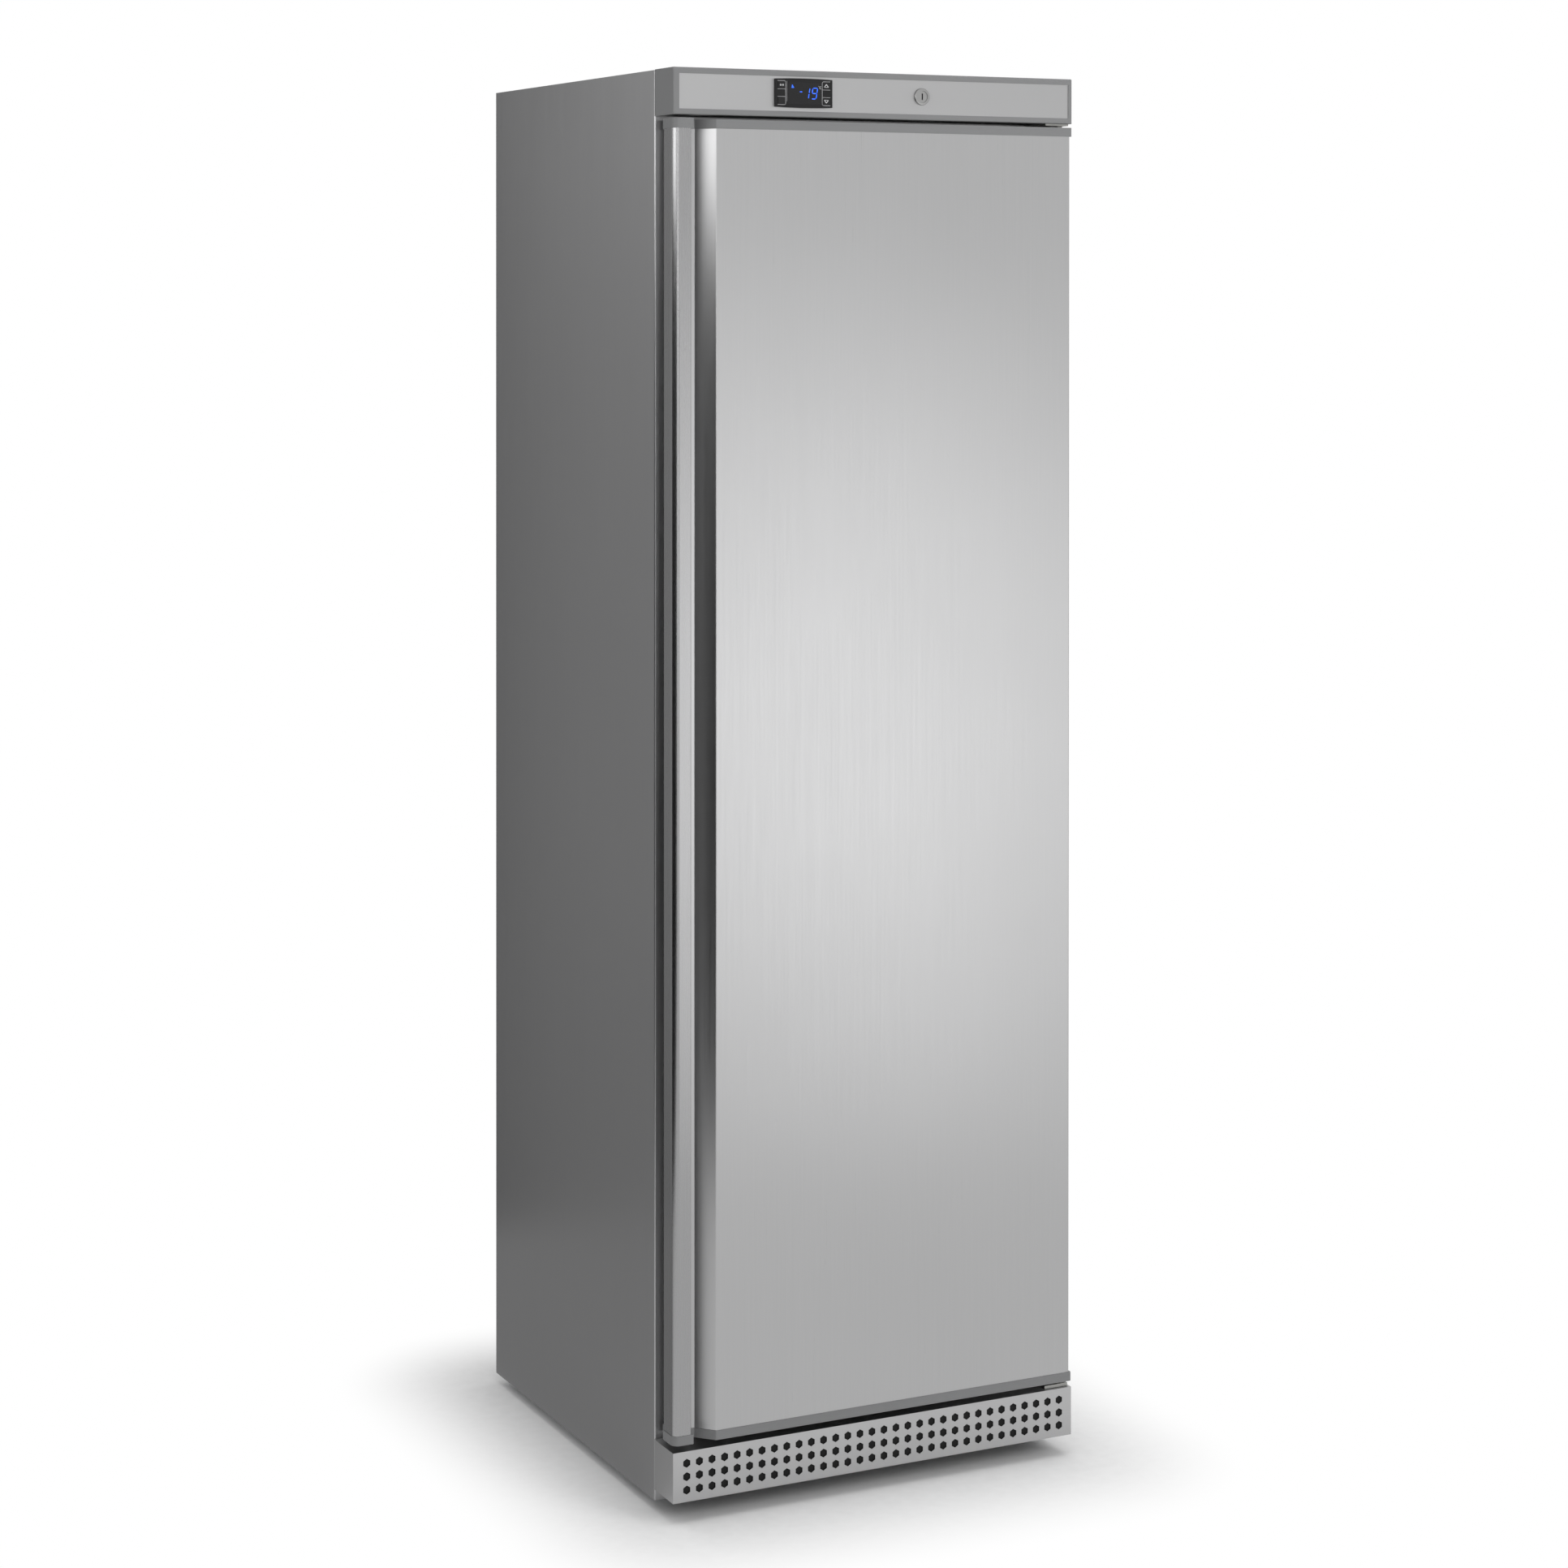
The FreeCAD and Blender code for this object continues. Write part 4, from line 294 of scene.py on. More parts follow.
ACROSS = (0.01, 1.0, 1.0)  # grain that runs from side to side; elsewhere it runs upright
M = {
    "side_steel": brushed("side_steel", (0.42, 0.42, 0.425), 0.36),
    "door_steel": brushed("door_steel", (0.42, 0.42, 0.423), 0.32, contrast=0.035),
    "fascia_steel": brushed("fascia_steel", (0.435, 0.435, 0.438), 0.42, ACROSS, contrast=0.02),
    # the grille's hole walls carry painted shade
    "grille_steel": brushed(
        "grille_steel", (0.47, 0.47, 0.473), 0.4, ACROSS, contrast=0.03, hole_shade_node="kick_grille"
    ),
    "handle_metal": brushed("handle_metal", (0.32, 0.32, 0.323), 0.26, contrast=0.03, cloud=0.02),
    "header_plastic": plastic("header_plastic", (0.205, 0.207, 0.21), 0.5),
    "cap_plastic": plastic("cap_plastic", (0.2, 0.202, 0.205), 0.48),
    "controller_plastic": plastic("controller_plastic", (0.008, 0.008, 0.0085), 0.5, specular=0.25),
    "window_plastic": plastic("window_plastic", (0.012, 0.012, 0.013), 0.25, strength=0.01, specular=0.25),
    "button_plastic": plastic("button_plastic", (0.010, 0.010, 0.0105), 0.55, specular=0.3),
    "lock_metal": bare_metal("lock_metal", (0.33, 0.33, 0.327), 0.27, 0.08),
    "galvanised": spangled("galvanised", (0.50, 0.51, 0.52), 0.42),
    "liner_white": plastic("liner_white", (0.78, 0.79, 0.80), 0.35, 900.0, 0.03),
    "foam": foamed("foam", (0.75, 0.68, 0.45)),
    "seal_rubber": plastic("seal_rubber", (0.22, 0.22, 0.225), 0.6, 700.0, 0.1),
    "shelf_white": painted("shelf_white", (0.74, 0.75, 0.76), 0.38),
    "clip_plastic": plastic("clip_plastic", (0.7, 0.71, 0.72), 0.45),
    "black_steel": painted("black_steel", (0.02, 0.02, 0.021), 0.35, 0.2),
    "copper": bare_metal("copper", (0.72, 0.36, 0.22), 0.3, 0.4),
    "black_plastic": plastic("black_plastic", (0.02, 0.02, 0.02), 0.5, 1100.0, 0.2),
    "black_rubber": plastic("black_rubber", (0.015, 0.015, 0.015), 0.75, 800.0, 0.3),
    "bolt_steel": bare_metal("bolt_steel", (0.36, 0.36, 0.345), 0.4, 0.12),
    "bush_plastic": plastic("bush_plastic", (0.6, 0.6, 0.58), 0.4),
    "display_blue": glowing("display_blue", (0.012, 0.12, 0.93), 1.0),
    "print_grey": plastic("print_grey", (0.46, 0.46, 0.47), 0.5, 900.0, 0.02),
    "print_light": plastic("print_light", (0.66, 0.66, 0.67), 0.5, 900.0, 0.02),
    # near-black foam of the mat behind the kick grille: painted shade
    "painted_shade_foam": foamed("painted_shade_foam", (0.006, 0.006, 0.006)),
}

SLOTS = {entry["node"]: entry["material_slot"] for entry in frame["record"]["subparts"]}
for node_name, node_object in NODES.items():
    for material_slot in node_object.material_slots:
        material_slot.link = "OBJECT"
        material_slot.material = M[SLOTS[node_name]]

# ---------------------------------------------------------------- piece helpers


def mesh_from(name, bm, smooth):
    """Turns a bmesh into a mesh, smooth across edges that bend less than smooth degrees."""
    bmesh.ops.recalc_face_normals(bm, faces=bm.faces)
    for face in bm.faces:
        face.smooth = True
    limit = math.radians(smooth)
    for edge in bm.edges:
        if len(edge.link_faces) == 2:
            edge.smooth = edge.calc_face_angle(0.0) < limit
    mesh = bpy.data.meshes.new(name)
    bm.to_mesh(mesh)
    bm.free()
    return mesh


def piece(name, bm, body, material, smooth=30.0):
    """A piece of the scene that rides a body and counts for one of the record's material slots."""
    made = bpy.data.objects.new(name, mesh_from(name, bm, smooth))
    SCENE.collection.objects.link(made)
    made.data.materials.append(M[material])
    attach(made, body)
    return made


def swept(rings, closed_path=False):
    """Bridges rings of equal length into a skin, capped at both ends unless the path is closed."""
    bm = bmesh.new()
    rows = [[bm.verts.new(point) for point in ring] for ring in rings]
    count = len(rows[0])
    pairs = list(zip(rows, rows[1:]))
    if closed_path:
        pairs.append((rows[-1], rows[0]))
    for a, b in pairs:
        for i in range(count):
            j = (i + 1) % count
            bm.faces.new((a[i], a[j], b[j], b[i]))
    if not closed_path:
        bm.faces.new(rows[0])
        bm.faces.new(rows[-1])
    return bm


def merged(parts):
    """Joins bmesh shells into one, with their normals worked out."""
    whole = bmesh.new()
    for part in parts:
        mesh = bpy.data.meshes.new("part")
        part.to_mesh(mesh)
        part.free()
        whole.from_mesh(mesh)
        bpy.data.meshes.remove(mesh)
    return whole


def tube_rings(points, radius, sides):
    """Rings round a path, kept from twisting."""
    rings = []
    normal = None
    for i, point in enumerate(points):
        ahead = points[min(i + 1, len(points) - 1)] - points[max(i - 1, 0)]
        ahead = ahead.normalized()
        if normal is None:
            normal = ahead.orthogonal().normalized()
        normal = (normal - ahead * normal.dot(ahead)).normalized()
        side = ahead.cross(normal)
        turns = [2 * math.pi * k / sides for k in range(sides)]
        rings.append([point + (normal * math.cos(a) + side * math.sin(a)) * radius for a in turns])
    return rings


def round_tube(path, radius, sides=12, dome=False):
    """A tube along a path of points in metres, with its ends flat or domed."""
    rings = tube_rings(path, radius, sides)
    if dome:
        for end, step in ((0, 1), (-1, -1)):
            centre = path[0] if end == 0 else path[-1]
            ahead = (path[step] - path[0]).normalized() if end == 0 else (path[-2] - path[-1]).normalized()
            outer = [centre + ahead * radius * 0.3 + (p - centre) for p in rings[end]]
            inner = [centre + (p - centre) * 0.72 for p in rings[end]]
            if end == 0:
                rings = [inner, outer] + rings[1:]
            else:
                rings = rings[:-1] + [outer, inner]
    return swept(rings)


def rounded_path(points, bend, steps=8):
    """Straight runs joined by smooth bends of one radius."""
    points = [Vector(p) for p in points]
    path = [points[0]]
    for before, corner, after in zip(points, points[1:], points[2:]):
        back = (before - corner).normalized()
        ahead = (after - corner).normalized()
        half = back.angle(ahead) / 2
        reach = min(bend / math.tan(half), (before - corner).length / 2, (after - corner).length / 2)
        radius = reach * math.tan(half)
        centre = corner + (back + ahead).normalized() * (radius / math.sin(half))
        enter = corner + back * reach - centre
        leave = corner + ahead * reach - centre
        turn = enter.angle(leave)
        for i in range(steps + 1):
            t = turn * i / steps
            path.append(centre + (enter * math.sin(turn - t) + leave * math.sin(t)) / math.sin(turn))
    path.append(points[-1])
    return path


def arc_points(centre, radius, start, sweep, steps):
    """Points along a flat bend, in mm, without its first point."""
    turns = [start + sweep * i / steps for i in range(1, steps + 1)]
    return [(centre[0] + radius * math.cos(t), centre[1] + radius * math.sin(t)) for t in turns]


def serpentine(low, high, first, pitch, runs, steps=12):
    """Straight runs joined by half turns, in mm."""
    points = [(low, first)]
    for i in range(runs):
        to_right = i % 2 == 0
        end = high if to_right else low
        points.append((end, first + pitch * i))
        if i < runs - 1:
            sweep = math.pi if to_right else -math.pi
            points += arc_points((end, first + pitch * (i + 0.5)), pitch / 2, -math.pi / 2, sweep, steps)
    return points


def spun(profile, origin, axis, sides):
    """Rows of points round an axis, one per side, from (radius, distance along the axis) pairs in mm."""
    origin = Vector(origin)
    along = Vector(axis).normalized()
    first = along.orthogonal().normalized()
    second = along.cross(first)
    rows = []
    for k in range(sides):
        turn = 2 * math.pi * k / sides
        arm = first * math.cos(turn) + second * math.sin(turn)
        rows.append([origin + along * (place / MM) + arm * (radius / MM) for radius, place in profile])
    return rows


def turned(profile, origin, axis, sides):
    """A turned solid whose profile starts and ends at its flat caps."""
    return swept([list(ring) for ring in zip(*spun(profile, origin, axis, sides))])


def ring_solid(profile, origin, axis, sides):
    """A turned ring whose closed profile doesn't touch the axis."""
    return swept(spun(profile, origin, axis, sides), closed_path=True)


# ---------------------------------------------------------------- floor, world, lamps


def stage_plane(name, corners, material):
    mesh = bpy.data.meshes.new(name)
    mesh.from_pydata(corners, [], [tuple(range(len(corners)))])
    made = bpy.data.objects.new(name, mesh)
    SCENE.collection.objects.link(made)
    made.data.materials.append(material)
    return made


def light_path_mix(tree, seen, lit):
    """Shows one shader to camera, glossy and transmission rays, and lights with the other."""
    path = tree.nodes.new("ShaderNodeLightPath")
    first = tree.nodes.new("ShaderNodeMath")
    first.operation = "MAXIMUM"
    tree.links.new(path.outputs["Is Camera Ray"], first.inputs[0])
    tree.links.new(path.outputs["Is Glossy Ray"], first.inputs[1])
    second = tree.nodes.new("ShaderNodeMath")
    second.operation = "MAXIMUM"
    tree.links.new(first.outputs[0], second.inputs[0])
    tree.links.new(path.outputs["Is Transmission Ray"], second.inputs[1])
    mix = tree.nodes.new("ShaderNodeMixShader")
    tree.links.new(second.outputs[0], mix.inputs[0])
    tree.links.new(lit, mix.inputs[1])
    tree.links.new(seen, mix.inputs[2])
    return mix.outputs[0]


world = bpy.data.worlds.new("studio")
SCENE.world = world
world.use_nodes = True
tree = world.node_tree
tree.nodes.clear()
world_out = tree.nodes.new("ShaderNodeOutputWorld")


def background(strength):
    made = tree.nodes.new("ShaderNodeBackground")
    made.inputs["Color"].default_value = (1.0, 1.0, 1.0, 1.0)
    made.inputs["Strength"].default_value = strength
    return made.outputs[0]


tree.links.new(light_path_mix(tree, background(1.0), background(0.54)), world_out.inputs["Surface"])

# The floor is plain pale paper near the object, where it holds the shadow, and turns to white further out.
FLOOR_REACH = 14.0
PAPER_HALF = 0.28  # half the square of plain paper round the origin
PAPER_FADE = 0.26  # from its edge to full white
g = Graph("floor_paper")
paper = g.new("ShaderNodeBsdfDiffuse")
fibres = g.range(g.noise(60.0, 3.0, 0.5), 0.0, 1.0, 0.3, 0.7)
g.link(g.mix(fibres, (0.9, 0.9, 0.9), (0.94, 0.94, 0.94)), paper.inputs["Color"])
lift = g.new("ShaderNodeEmission")
lift.inputs["Strength"].default_value = 1.0
place = g.place()
beyond = [
    g.math("MAXIMUM", g.math("SUBTRACT", g.math("ABSOLUTE", place[axis]), PAPER_HALF)) for axis in range(2)
]
spread = g.math("ADD", g.math("MULTIPLY", beyond[0], beyond[0]), g.math("MULTIPLY", beyond[1], beyond[1]))
away = g.range(g.math("SQRT", spread), 0.0, 1.0, 0.0, PAPER_FADE, interpolation_type="SMOOTHSTEP")
floor_seen = g.new("ShaderNodeMixShader")
g.link(away, floor_seen.inputs[0])
g.link(paper.outputs[0], floor_seen.inputs[1])
g.link(lift.outputs[0], floor_seen.inputs[2])
g.link(light_path_mix(g.tree, floor_seen.outputs[0], paper.outputs[0]), g.out.inputs["Surface"])


def mirrored_only(made):
    """Leaves a card out of everything but reflections."""
    made.visible_camera = False
    made.visible_diffuse = False
    made.visible_shadow = False
    made.visible_transmission = False
    return made


def upright(x0, y0, x1, y1, low, high):
    """Corners of a plane that stands on the line between two places."""
    return [(x0, y0, low), (x1, y1, low), (x1, y1, high), (x0, y0, high)]


def flat(x0, y0, x1, y1, z):
    """Corners of a level plane."""
    return [(x0, y0, z), (x1, y0, z), (x1, y1, z), (x0, y1, z)]


stage_plane("floor", flat(-FLOOR_REACH, -FLOOR_REACH, FLOOR_REACH, FLOOR_REACH, 0), g.material)


def studio_card(name, corners, stops, axis, start, end, strength=1.0):
    """A card shaded by (place, level) stops, with places from start to end along the axis, in metres."""
    g = Graph(name)
    place = g.place()
    ramp = g.new("ShaderNodeValToRGB")
    ramp.color_ramp.interpolation = "EASE"
    elements = ramp.color_ramp.elements
    for i, (stop, level) in enumerate(stops):
        element = elements[i] if i < 2 else elements.new(stop)
        element.position = stop
        element.color = (level, level, level, 1.0)
    g.link(g.range(place[axis], 0.0, 1.0, start, end), ramp.inputs[0])
    glow = g.new("ShaderNodeEmission")
    g.link(ramp.outputs[0], glow.inputs["Color"])
    glow.inputs["Strength"].default_value = strength
    g.link(glow.outputs[0], g.out.inputs["Surface"])
    mirrored_only(stage_plane(name, corners, g.material))


# grey surroundings at the left and rear left, which the side panel mirrors
studio_card("card_side", upright(-3.2, -0.8, -3.2, 6.0, 0.0, 9.0), [(0.0, 0.54), (1.0, 0.52)], 1, -0.8, 6.0)
studio_card(
    "card_far_left", upright(-3.2, 6.0, 0.4, 6.0, 0.0, 9.0), [(0.0, 0.42), (0.1, 0.2), (0.28, 0.0)],
    0, -3.2, 0.4,
)
studio_card(
    "card_rear_left", upright(-0.88, 1.0, -0.32, 1.0, 0.0, 2.6), [(0.0, 0.4), (0.45, 0.08), (1.0, 0.0)],
    0, -0.88, -0.32,
)
studio_card(
    "card_floor_left", flat(-3.2, -0.22, -0.31, 6.0, 0.004), [(0.0, 0.5), (0.9, 0.34)], 0, -3.2, -0.31
)
# a dark flag that shades the slope and the flange strip, and two bright cards for the grip's corner
studio_card("flag_left", upright(-1.7, -3.7, -1.7, 0.4, 0.0, 1.73), [(0.0, 0.06), (0.3, 0.0)], 1, -3.7, 0.4)
studio_card(
    "card_front", upright(-1.05, -3.3, -0.65, -3.3, 0.3, 2.6), [(0.0, 0.45), (0.55, 1.0)], 2, 0.3, 2.6, 4.2
)
studio_card(
    "card_high_left", upright(-1.7, -2.0, -1.7, -0.2, 1.73, 2.4), [(0.0, 1.0), (1.0, 1.0)], 2, 1.73, 2.4, 3.2
)


def glow_card(name, centre, facing, width, height, level, peak, half_width, half_height):
    """A white card with a soft brighter middle, as a softbox seen through cloth."""
    g = Graph(name)
    glow = g.new("ShaderNodeTexGradient", gradient_type="SPHERICAL")
    g.link(g.stretched((1 / half_width, 1 / half_height, 1.0)), glow.inputs["Vector"])
    light = g.new("ShaderNodeEmission")
    bright = g.range(glow.outputs["Fac"], level, peak, interpolation_type="SMOOTHSTEP")
    g.link(bright, light.inputs["Strength"])
    g.link(light.outputs[0], g.out.inputs["Surface"])
    w, h = width / 2, height / 2
    made = mirrored_only(stage_plane(name, [(-w, -h, 0), (w, -h, 0), (w, h, 0), (-w, h, 0)], g.material))
    made.location = centre
    made.rotation_mode = "QUATERNION"
    made.rotation_quaternion = Vector(facing).to_track_quat("Z", "Y")


glow_card("softbox_cloth", (0.70, -1.76, 0.78), (-0.5, 0.87, 0.0), 2.4, 1.8, 0.78, 2.4, 0.90, 1.4)


def lamp(name, place, target, size, power):
    """A square area lamp that lights without a mirror image of its own."""
    data = bpy.data.lights.new(name, "AREA")
    data.shape = "RECTANGLE"
    data.size, data.size_y = size, size
    data.energy = power
    made = bpy.data.objects.new(name, data)
    SCENE.collection.objects.link(made)
    made.location = place
    made.rotation_mode = "QUATERNION"
    made.rotation_quaternion = (Vector(target) - Vector(place)).to_track_quat("-Z", "Y")
    made.visible_camera = False
    made.visible_glossy = False


lamp("key", (1.6, -3.0, 2.2), (0.0, -0.29, 1.0), 1.4, 30.0)
lamp("top", (0.2, -0.6, 3.8), (0.0, 0.0, 1.0), 2.4, 34.0)
lamp("fill_rear", (-1.5, 3.4, 2.4), (0.0, 0.3, 1.0), 2.0, 16.0)

# ---------------------------------------------------------------- controller print and display

# Places on the controller are (mm right of its left edge, mm below its top edge).
window_low, window_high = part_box("controller_window")
control_low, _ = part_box("controller")
CONTROL_LEFT = control_low.x
CONTROL_TOP = window_high.z + 0.0034
PRINT_LIFT = 0.00006  # print in front of the face it lies on
PRINT_DEPTH = 0.00012
DIGIT_DEPTH = 0.0001
PRINT_Y = control_low.y - PRINT_LIFT
GLASS_Y = window_low.y - PRINT_LIFT


def on_controller(across, down, y):
    return Vector((CONTROL_LEFT + across / MM, y, CONTROL_TOP - down / MM))


def raised(bm, front_points, depth):
    """The vertices of a printed shape's front rim and back rim."""
    front = [bm.verts.new(p) for p in front_points]
    back = [bm.verts.new(v.co + Vector((0, depth, 0))) for v in front]
    return front, back


def walls(bm, front, back):
    """The side faces between the two rims."""
    for i in range(len(front)):
        j = (i + 1) % len(front)
        bm.faces.new((front[i], back[i], back[j], front[j]))


def strip(bm, points, width, y):
    """A raised printed line through points on the controller."""
    row = [on_controller(a, b, y) for a, b in points]
    outer, inner = [], []
    for i, point in enumerate(row):
        ahead = (row[min(i + 1, len(row) - 1)] - row[max(i - 1, 0)]).normalized()
        side = Vector((-ahead.z, 0, ahead.x)) * (width / 2) / MM
        outer.append(point + side)
        inner.append(point - side)
    front, back = raised(bm, outer + inner[::-1], PRINT_DEPTH)
    count = len(front)
    for i in range(count // 2 - 1):
        bm.faces.new((front[i], front[i + 1], front[count - 2 - i], front[count - 1 - i]))
        bm.faces.new((back[i], back[count - 1 - i], back[count - 2 - i], back[i + 1]))
    walls(bm, front, back)


def solid_shape(bm, front_points, depth):
    """A raised printed shape inside one outline."""
    front, back = raised(bm, front_points, depth)
    bm.faces.new(front)
    bm.faces.new(back[::-1])
    walls(bm, front, back)


def arc(cx, cy, r, start, end, steps=5):
    """Points on a quarter turn, in degrees, on the controller."""
    turns = [math.radians(start + (end - start) * k / steps) for k in range(steps + 1)]
    return [(cx + r * math.cos(t), cy + r * math.sin(t)) for t in turns]


OUTLINE_TOP, OUTLINE_BOTTOM, OUTLINE_TURN = 2.5, 33.6, 2.2
OUTLINE_BARS = (13.2, 23.0)


def outline(bm, open_x, closed_x):
    """The printed outline round one column of buttons, open towards the outer edge."""
    inward = -1 if closed_x > open_x else 1
    centre = closed_x + inward * OUTLINE_TURN
    high, low = OUTLINE_TOP + OUTLINE_TURN, OUTLINE_BOTTOM - OUTLINE_TURN
    if inward < 0:
        upper = arc(centre, high, OUTLINE_TURN, -90, 0)
        lower = arc(centre, low, OUTLINE_TURN, 0, 90)
    else:
        upper = arc(centre, high, OUTLINE_TURN, -90, -180)
        lower = arc(centre, low, OUTLINE_TURN, 180, 90)
    strip(bm, [(open_x, OUTLINE_TOP)] + upper + lower + [(open_x, OUTLINE_BOTTOM)], 0.55, PRINT_Y)
    for bar in OUTLINE_BARS:
        strip(bm, [(open_x, bar), (closed_x, bar)], 0.5, PRINT_Y)


print_bm = bmesh.new()
outline(print_bm, 3.2, 15.1)
outline(print_bm, 80.8, 68.9)
strip(print_bm, [(17.0, 2.6), (17.0, 29.0)], 0.3, PRINT_Y)
piece("controller_print", print_bm, "cabinet", "print_grey")

DIGIT_W, DIGIT_H, STROKE, SLANT, SEGMENT_GAP = 6.9, 14.0, 1.15, 0.17, 0.75
HALF_H = DIGIT_H / 2
# centre lines of the segments in use, in digit units from the digit's lower left corner
SEGMENT_LINES = {
    "a": ((SEGMENT_GAP, DIGIT_H), (DIGIT_W - SEGMENT_GAP, DIGIT_H)),
    "b": ((DIGIT_W, HALF_H + SEGMENT_GAP), (DIGIT_W, DIGIT_H - SEGMENT_GAP)),
    "c": ((DIGIT_W, SEGMENT_GAP), (DIGIT_W, HALF_H - SEGMENT_GAP)),
    "d": ((SEGMENT_GAP, 0), (DIGIT_W - SEGMENT_GAP, 0)),
    "f": ((0, HALF_H + SEGMENT_GAP), (0, DIGIT_H - SEGMENT_GAP)),
    "g": ((SEGMENT_GAP, HALF_H), (DIGIT_W - SEGMENT_GAP, HALF_H)),
}


def digit(bm, segments, left, bottom, scale=1.0):
    """A seven-segment sign whose foot is bottom mm below the controller's top."""
    for name in segments:
        (x0, z0), (x1, z1) = SEGMENT_LINES[name]
        a = Vector((x0 + SLANT * z0, 0, z0)) * scale
        b = Vector((x1 + SLANT * z1, 0, z1)) * scale
        ahead = (b - a).normalized()
        side = Vector((-ahead.z, 0, ahead.x)) * STROKE / 2
        tip = ahead * STROKE / 2
        ring = [a - tip * 0.6, a + tip + side, b - tip + side, b + tip * 0.6, b - tip - side, a + tip - side]
        origin = on_controller(left, bottom, GLASS_Y)
        solid_shape(bm, [origin + p / MM for p in ring], DIGIT_DEPTH)


digits = bmesh.new()
digit(digits, "g", 34.6, 20.8, 0.62)  # minus
digit(digits, "bc", 41.4, 25.2)  # 1
digit(digits, "abcdfg", 52.7, 25.2)  # 9
piece("display_digits", digits, "cabinet", "display_blue")

MARK = [(24.4, 7.6), (25.3, 7.4), (25.8, 9.2), (27.3, 10.9), (27.2, 11.5), (23.8, 11.5), (24.0, 9.6)]
mark = bmesh.new()
solid_shape(mark, [on_controller(a, b, GLASS_Y) for a, b in MARK], PRINT_DEPTH)
piece("display_mark", mark, "cabinet", "display_blue")

degree = bmesh.new()
strip(degree, [(67.3, 9.0), (65.4, 9.4), (64.7, 10.5), (65.4, 11.6), (67.2, 12.0)], 0.55, GLASS_Y)
strip(degree, [(63.6, 8.6), (64.2, 9.0)], 0.6, GLASS_Y)
piece("display_unit", degree, "cabinet", "print_light")

# the arrow points up at -1 and down at 1, and 0 stands for the crystals
for button_name, way in (("button_up", -1), ("button_down", 1), ("button_defrost", 0)):
    low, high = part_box(button_name)
    middle = ((low.x + high.x) / 2 - CONTROL_LEFT) * MM
    level = (CONTROL_TOP - (low.z + high.z) / 2) * MM
    face_y = low.y - PRINT_LIFT
    symbol_bm = bmesh.new()
    if way:
        tip, foot = (middle, level + way * 2.2), level - way * 1.6
        strip(symbol_bm, [(middle - 3.0, foot), tip], 0.85, face_y)
        strip(symbol_bm, [tip, (middle + 3.0, foot)], 0.85, face_y)
        strip(symbol_bm, [(middle - 2.9, foot), (middle + 2.9, foot)], 0.5, face_y)
    else:
        for k in range(3):
            across, down = 1.5 * math.cos(math.radians(60 * k)), 1.5 * math.sin(math.radians(60 * k))
            for centre in (middle - 1.7, middle + 1.7):
                ends = [(centre - across, level - down), (centre + across, level + down)]
                strip(symbol_bm, ends, 0.45, face_y)
    piece(button_name + "_symbol", symbol_bm, button_name, "print_light")

# ---------------------------------------------------------------- door seal

gasket_low, gasket_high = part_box("door_gasket")
# across the seal from its outer edge (mm), out from the door's inner face (mm)
SEAL_PROFILE = [
    (0.0, 0.1), (0.2, 1.2), (1.1, 1.6), (1.4, 2.6), (0.8, 3.5), (1.4, 4.3), (3.2, 4.55), (6.0, 4.58),
    (9.0, 4.56), (10.6, 4.2), (11.2, 3.2), (11.0, 2.2), (12.2, 1.9), (13.6, 2.6), (15.6, 2.9), (17.2, 2.0),
    (17.8, 0.8), (17.9, 0.1),
]
# one ring of the profile at each mitred corner
seal_rings = [
    [
        Vector((
            (gasket_low.x if sx < 0 else gasket_high.x) - sx * across / MM,
            gasket_low.y + out / MM,
            (gasket_low.z if sz < 0 else gasket_high.z) - sz * across / MM,
        ))
        for across, out in SEAL_PROFILE
    ]
    for sx, sz in ((-1, -1), (1, -1), (1, 1), (-1, 1))
]
seal = piece("door_seal", swept(seal_rings, closed_path=True), "door", "seal_rubber", 50.0)
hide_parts("door_gasket")

# ---------------------------------------------------------------- near-black mat behind the kick grille, painted shade for its holes

MAT_LOW, MAT_HIGH, MAT_EDGE = (-0.2972, -0.2909, 0.0300), (0.2972, -0.2879, 0.0912), 0.0012


def slab(low, high, edge):
    """A thin upright mat with rounded rims, given in metres."""
    rings = []
    depth = high[1] - low[1]
    for share, inset in ((0.0, edge), (0.25, edge * 0.3), (0.5, 0.0), (0.75, edge * 0.3), (1.0, edge)):
        y = low[1] + depth * share
        x0, x1, z0, z1 = low[0] + inset, high[0] - inset, low[2] + inset, high[2] - inset
        ring = []
        for a, b in (((x0, z0), (x1, z0)), ((x1, z0), (x1, z1)), ((x1, z1), (x0, z1)), ((x0, z1), (x0, z0))):
            steps = 24 if a[1] == b[1] else 4
            for i in range(steps):
                t = i / steps
                ring.append(Vector((a[0] + (b[0] - a[0]) * t, y, a[1] + (b[1] - a[1]) * t)))
        rings.append(ring)
    return swept(rings)


# painted shade: a near-black mat just behind the grille makes its holes read dark
piece("painted_shade_mat", slab(MAT_LOW, MAT_HIGH, MAT_EDGE), "cabinet", "painted_shade_foam", 60)

# ---------------------------------------------------------------- evaporator shelves

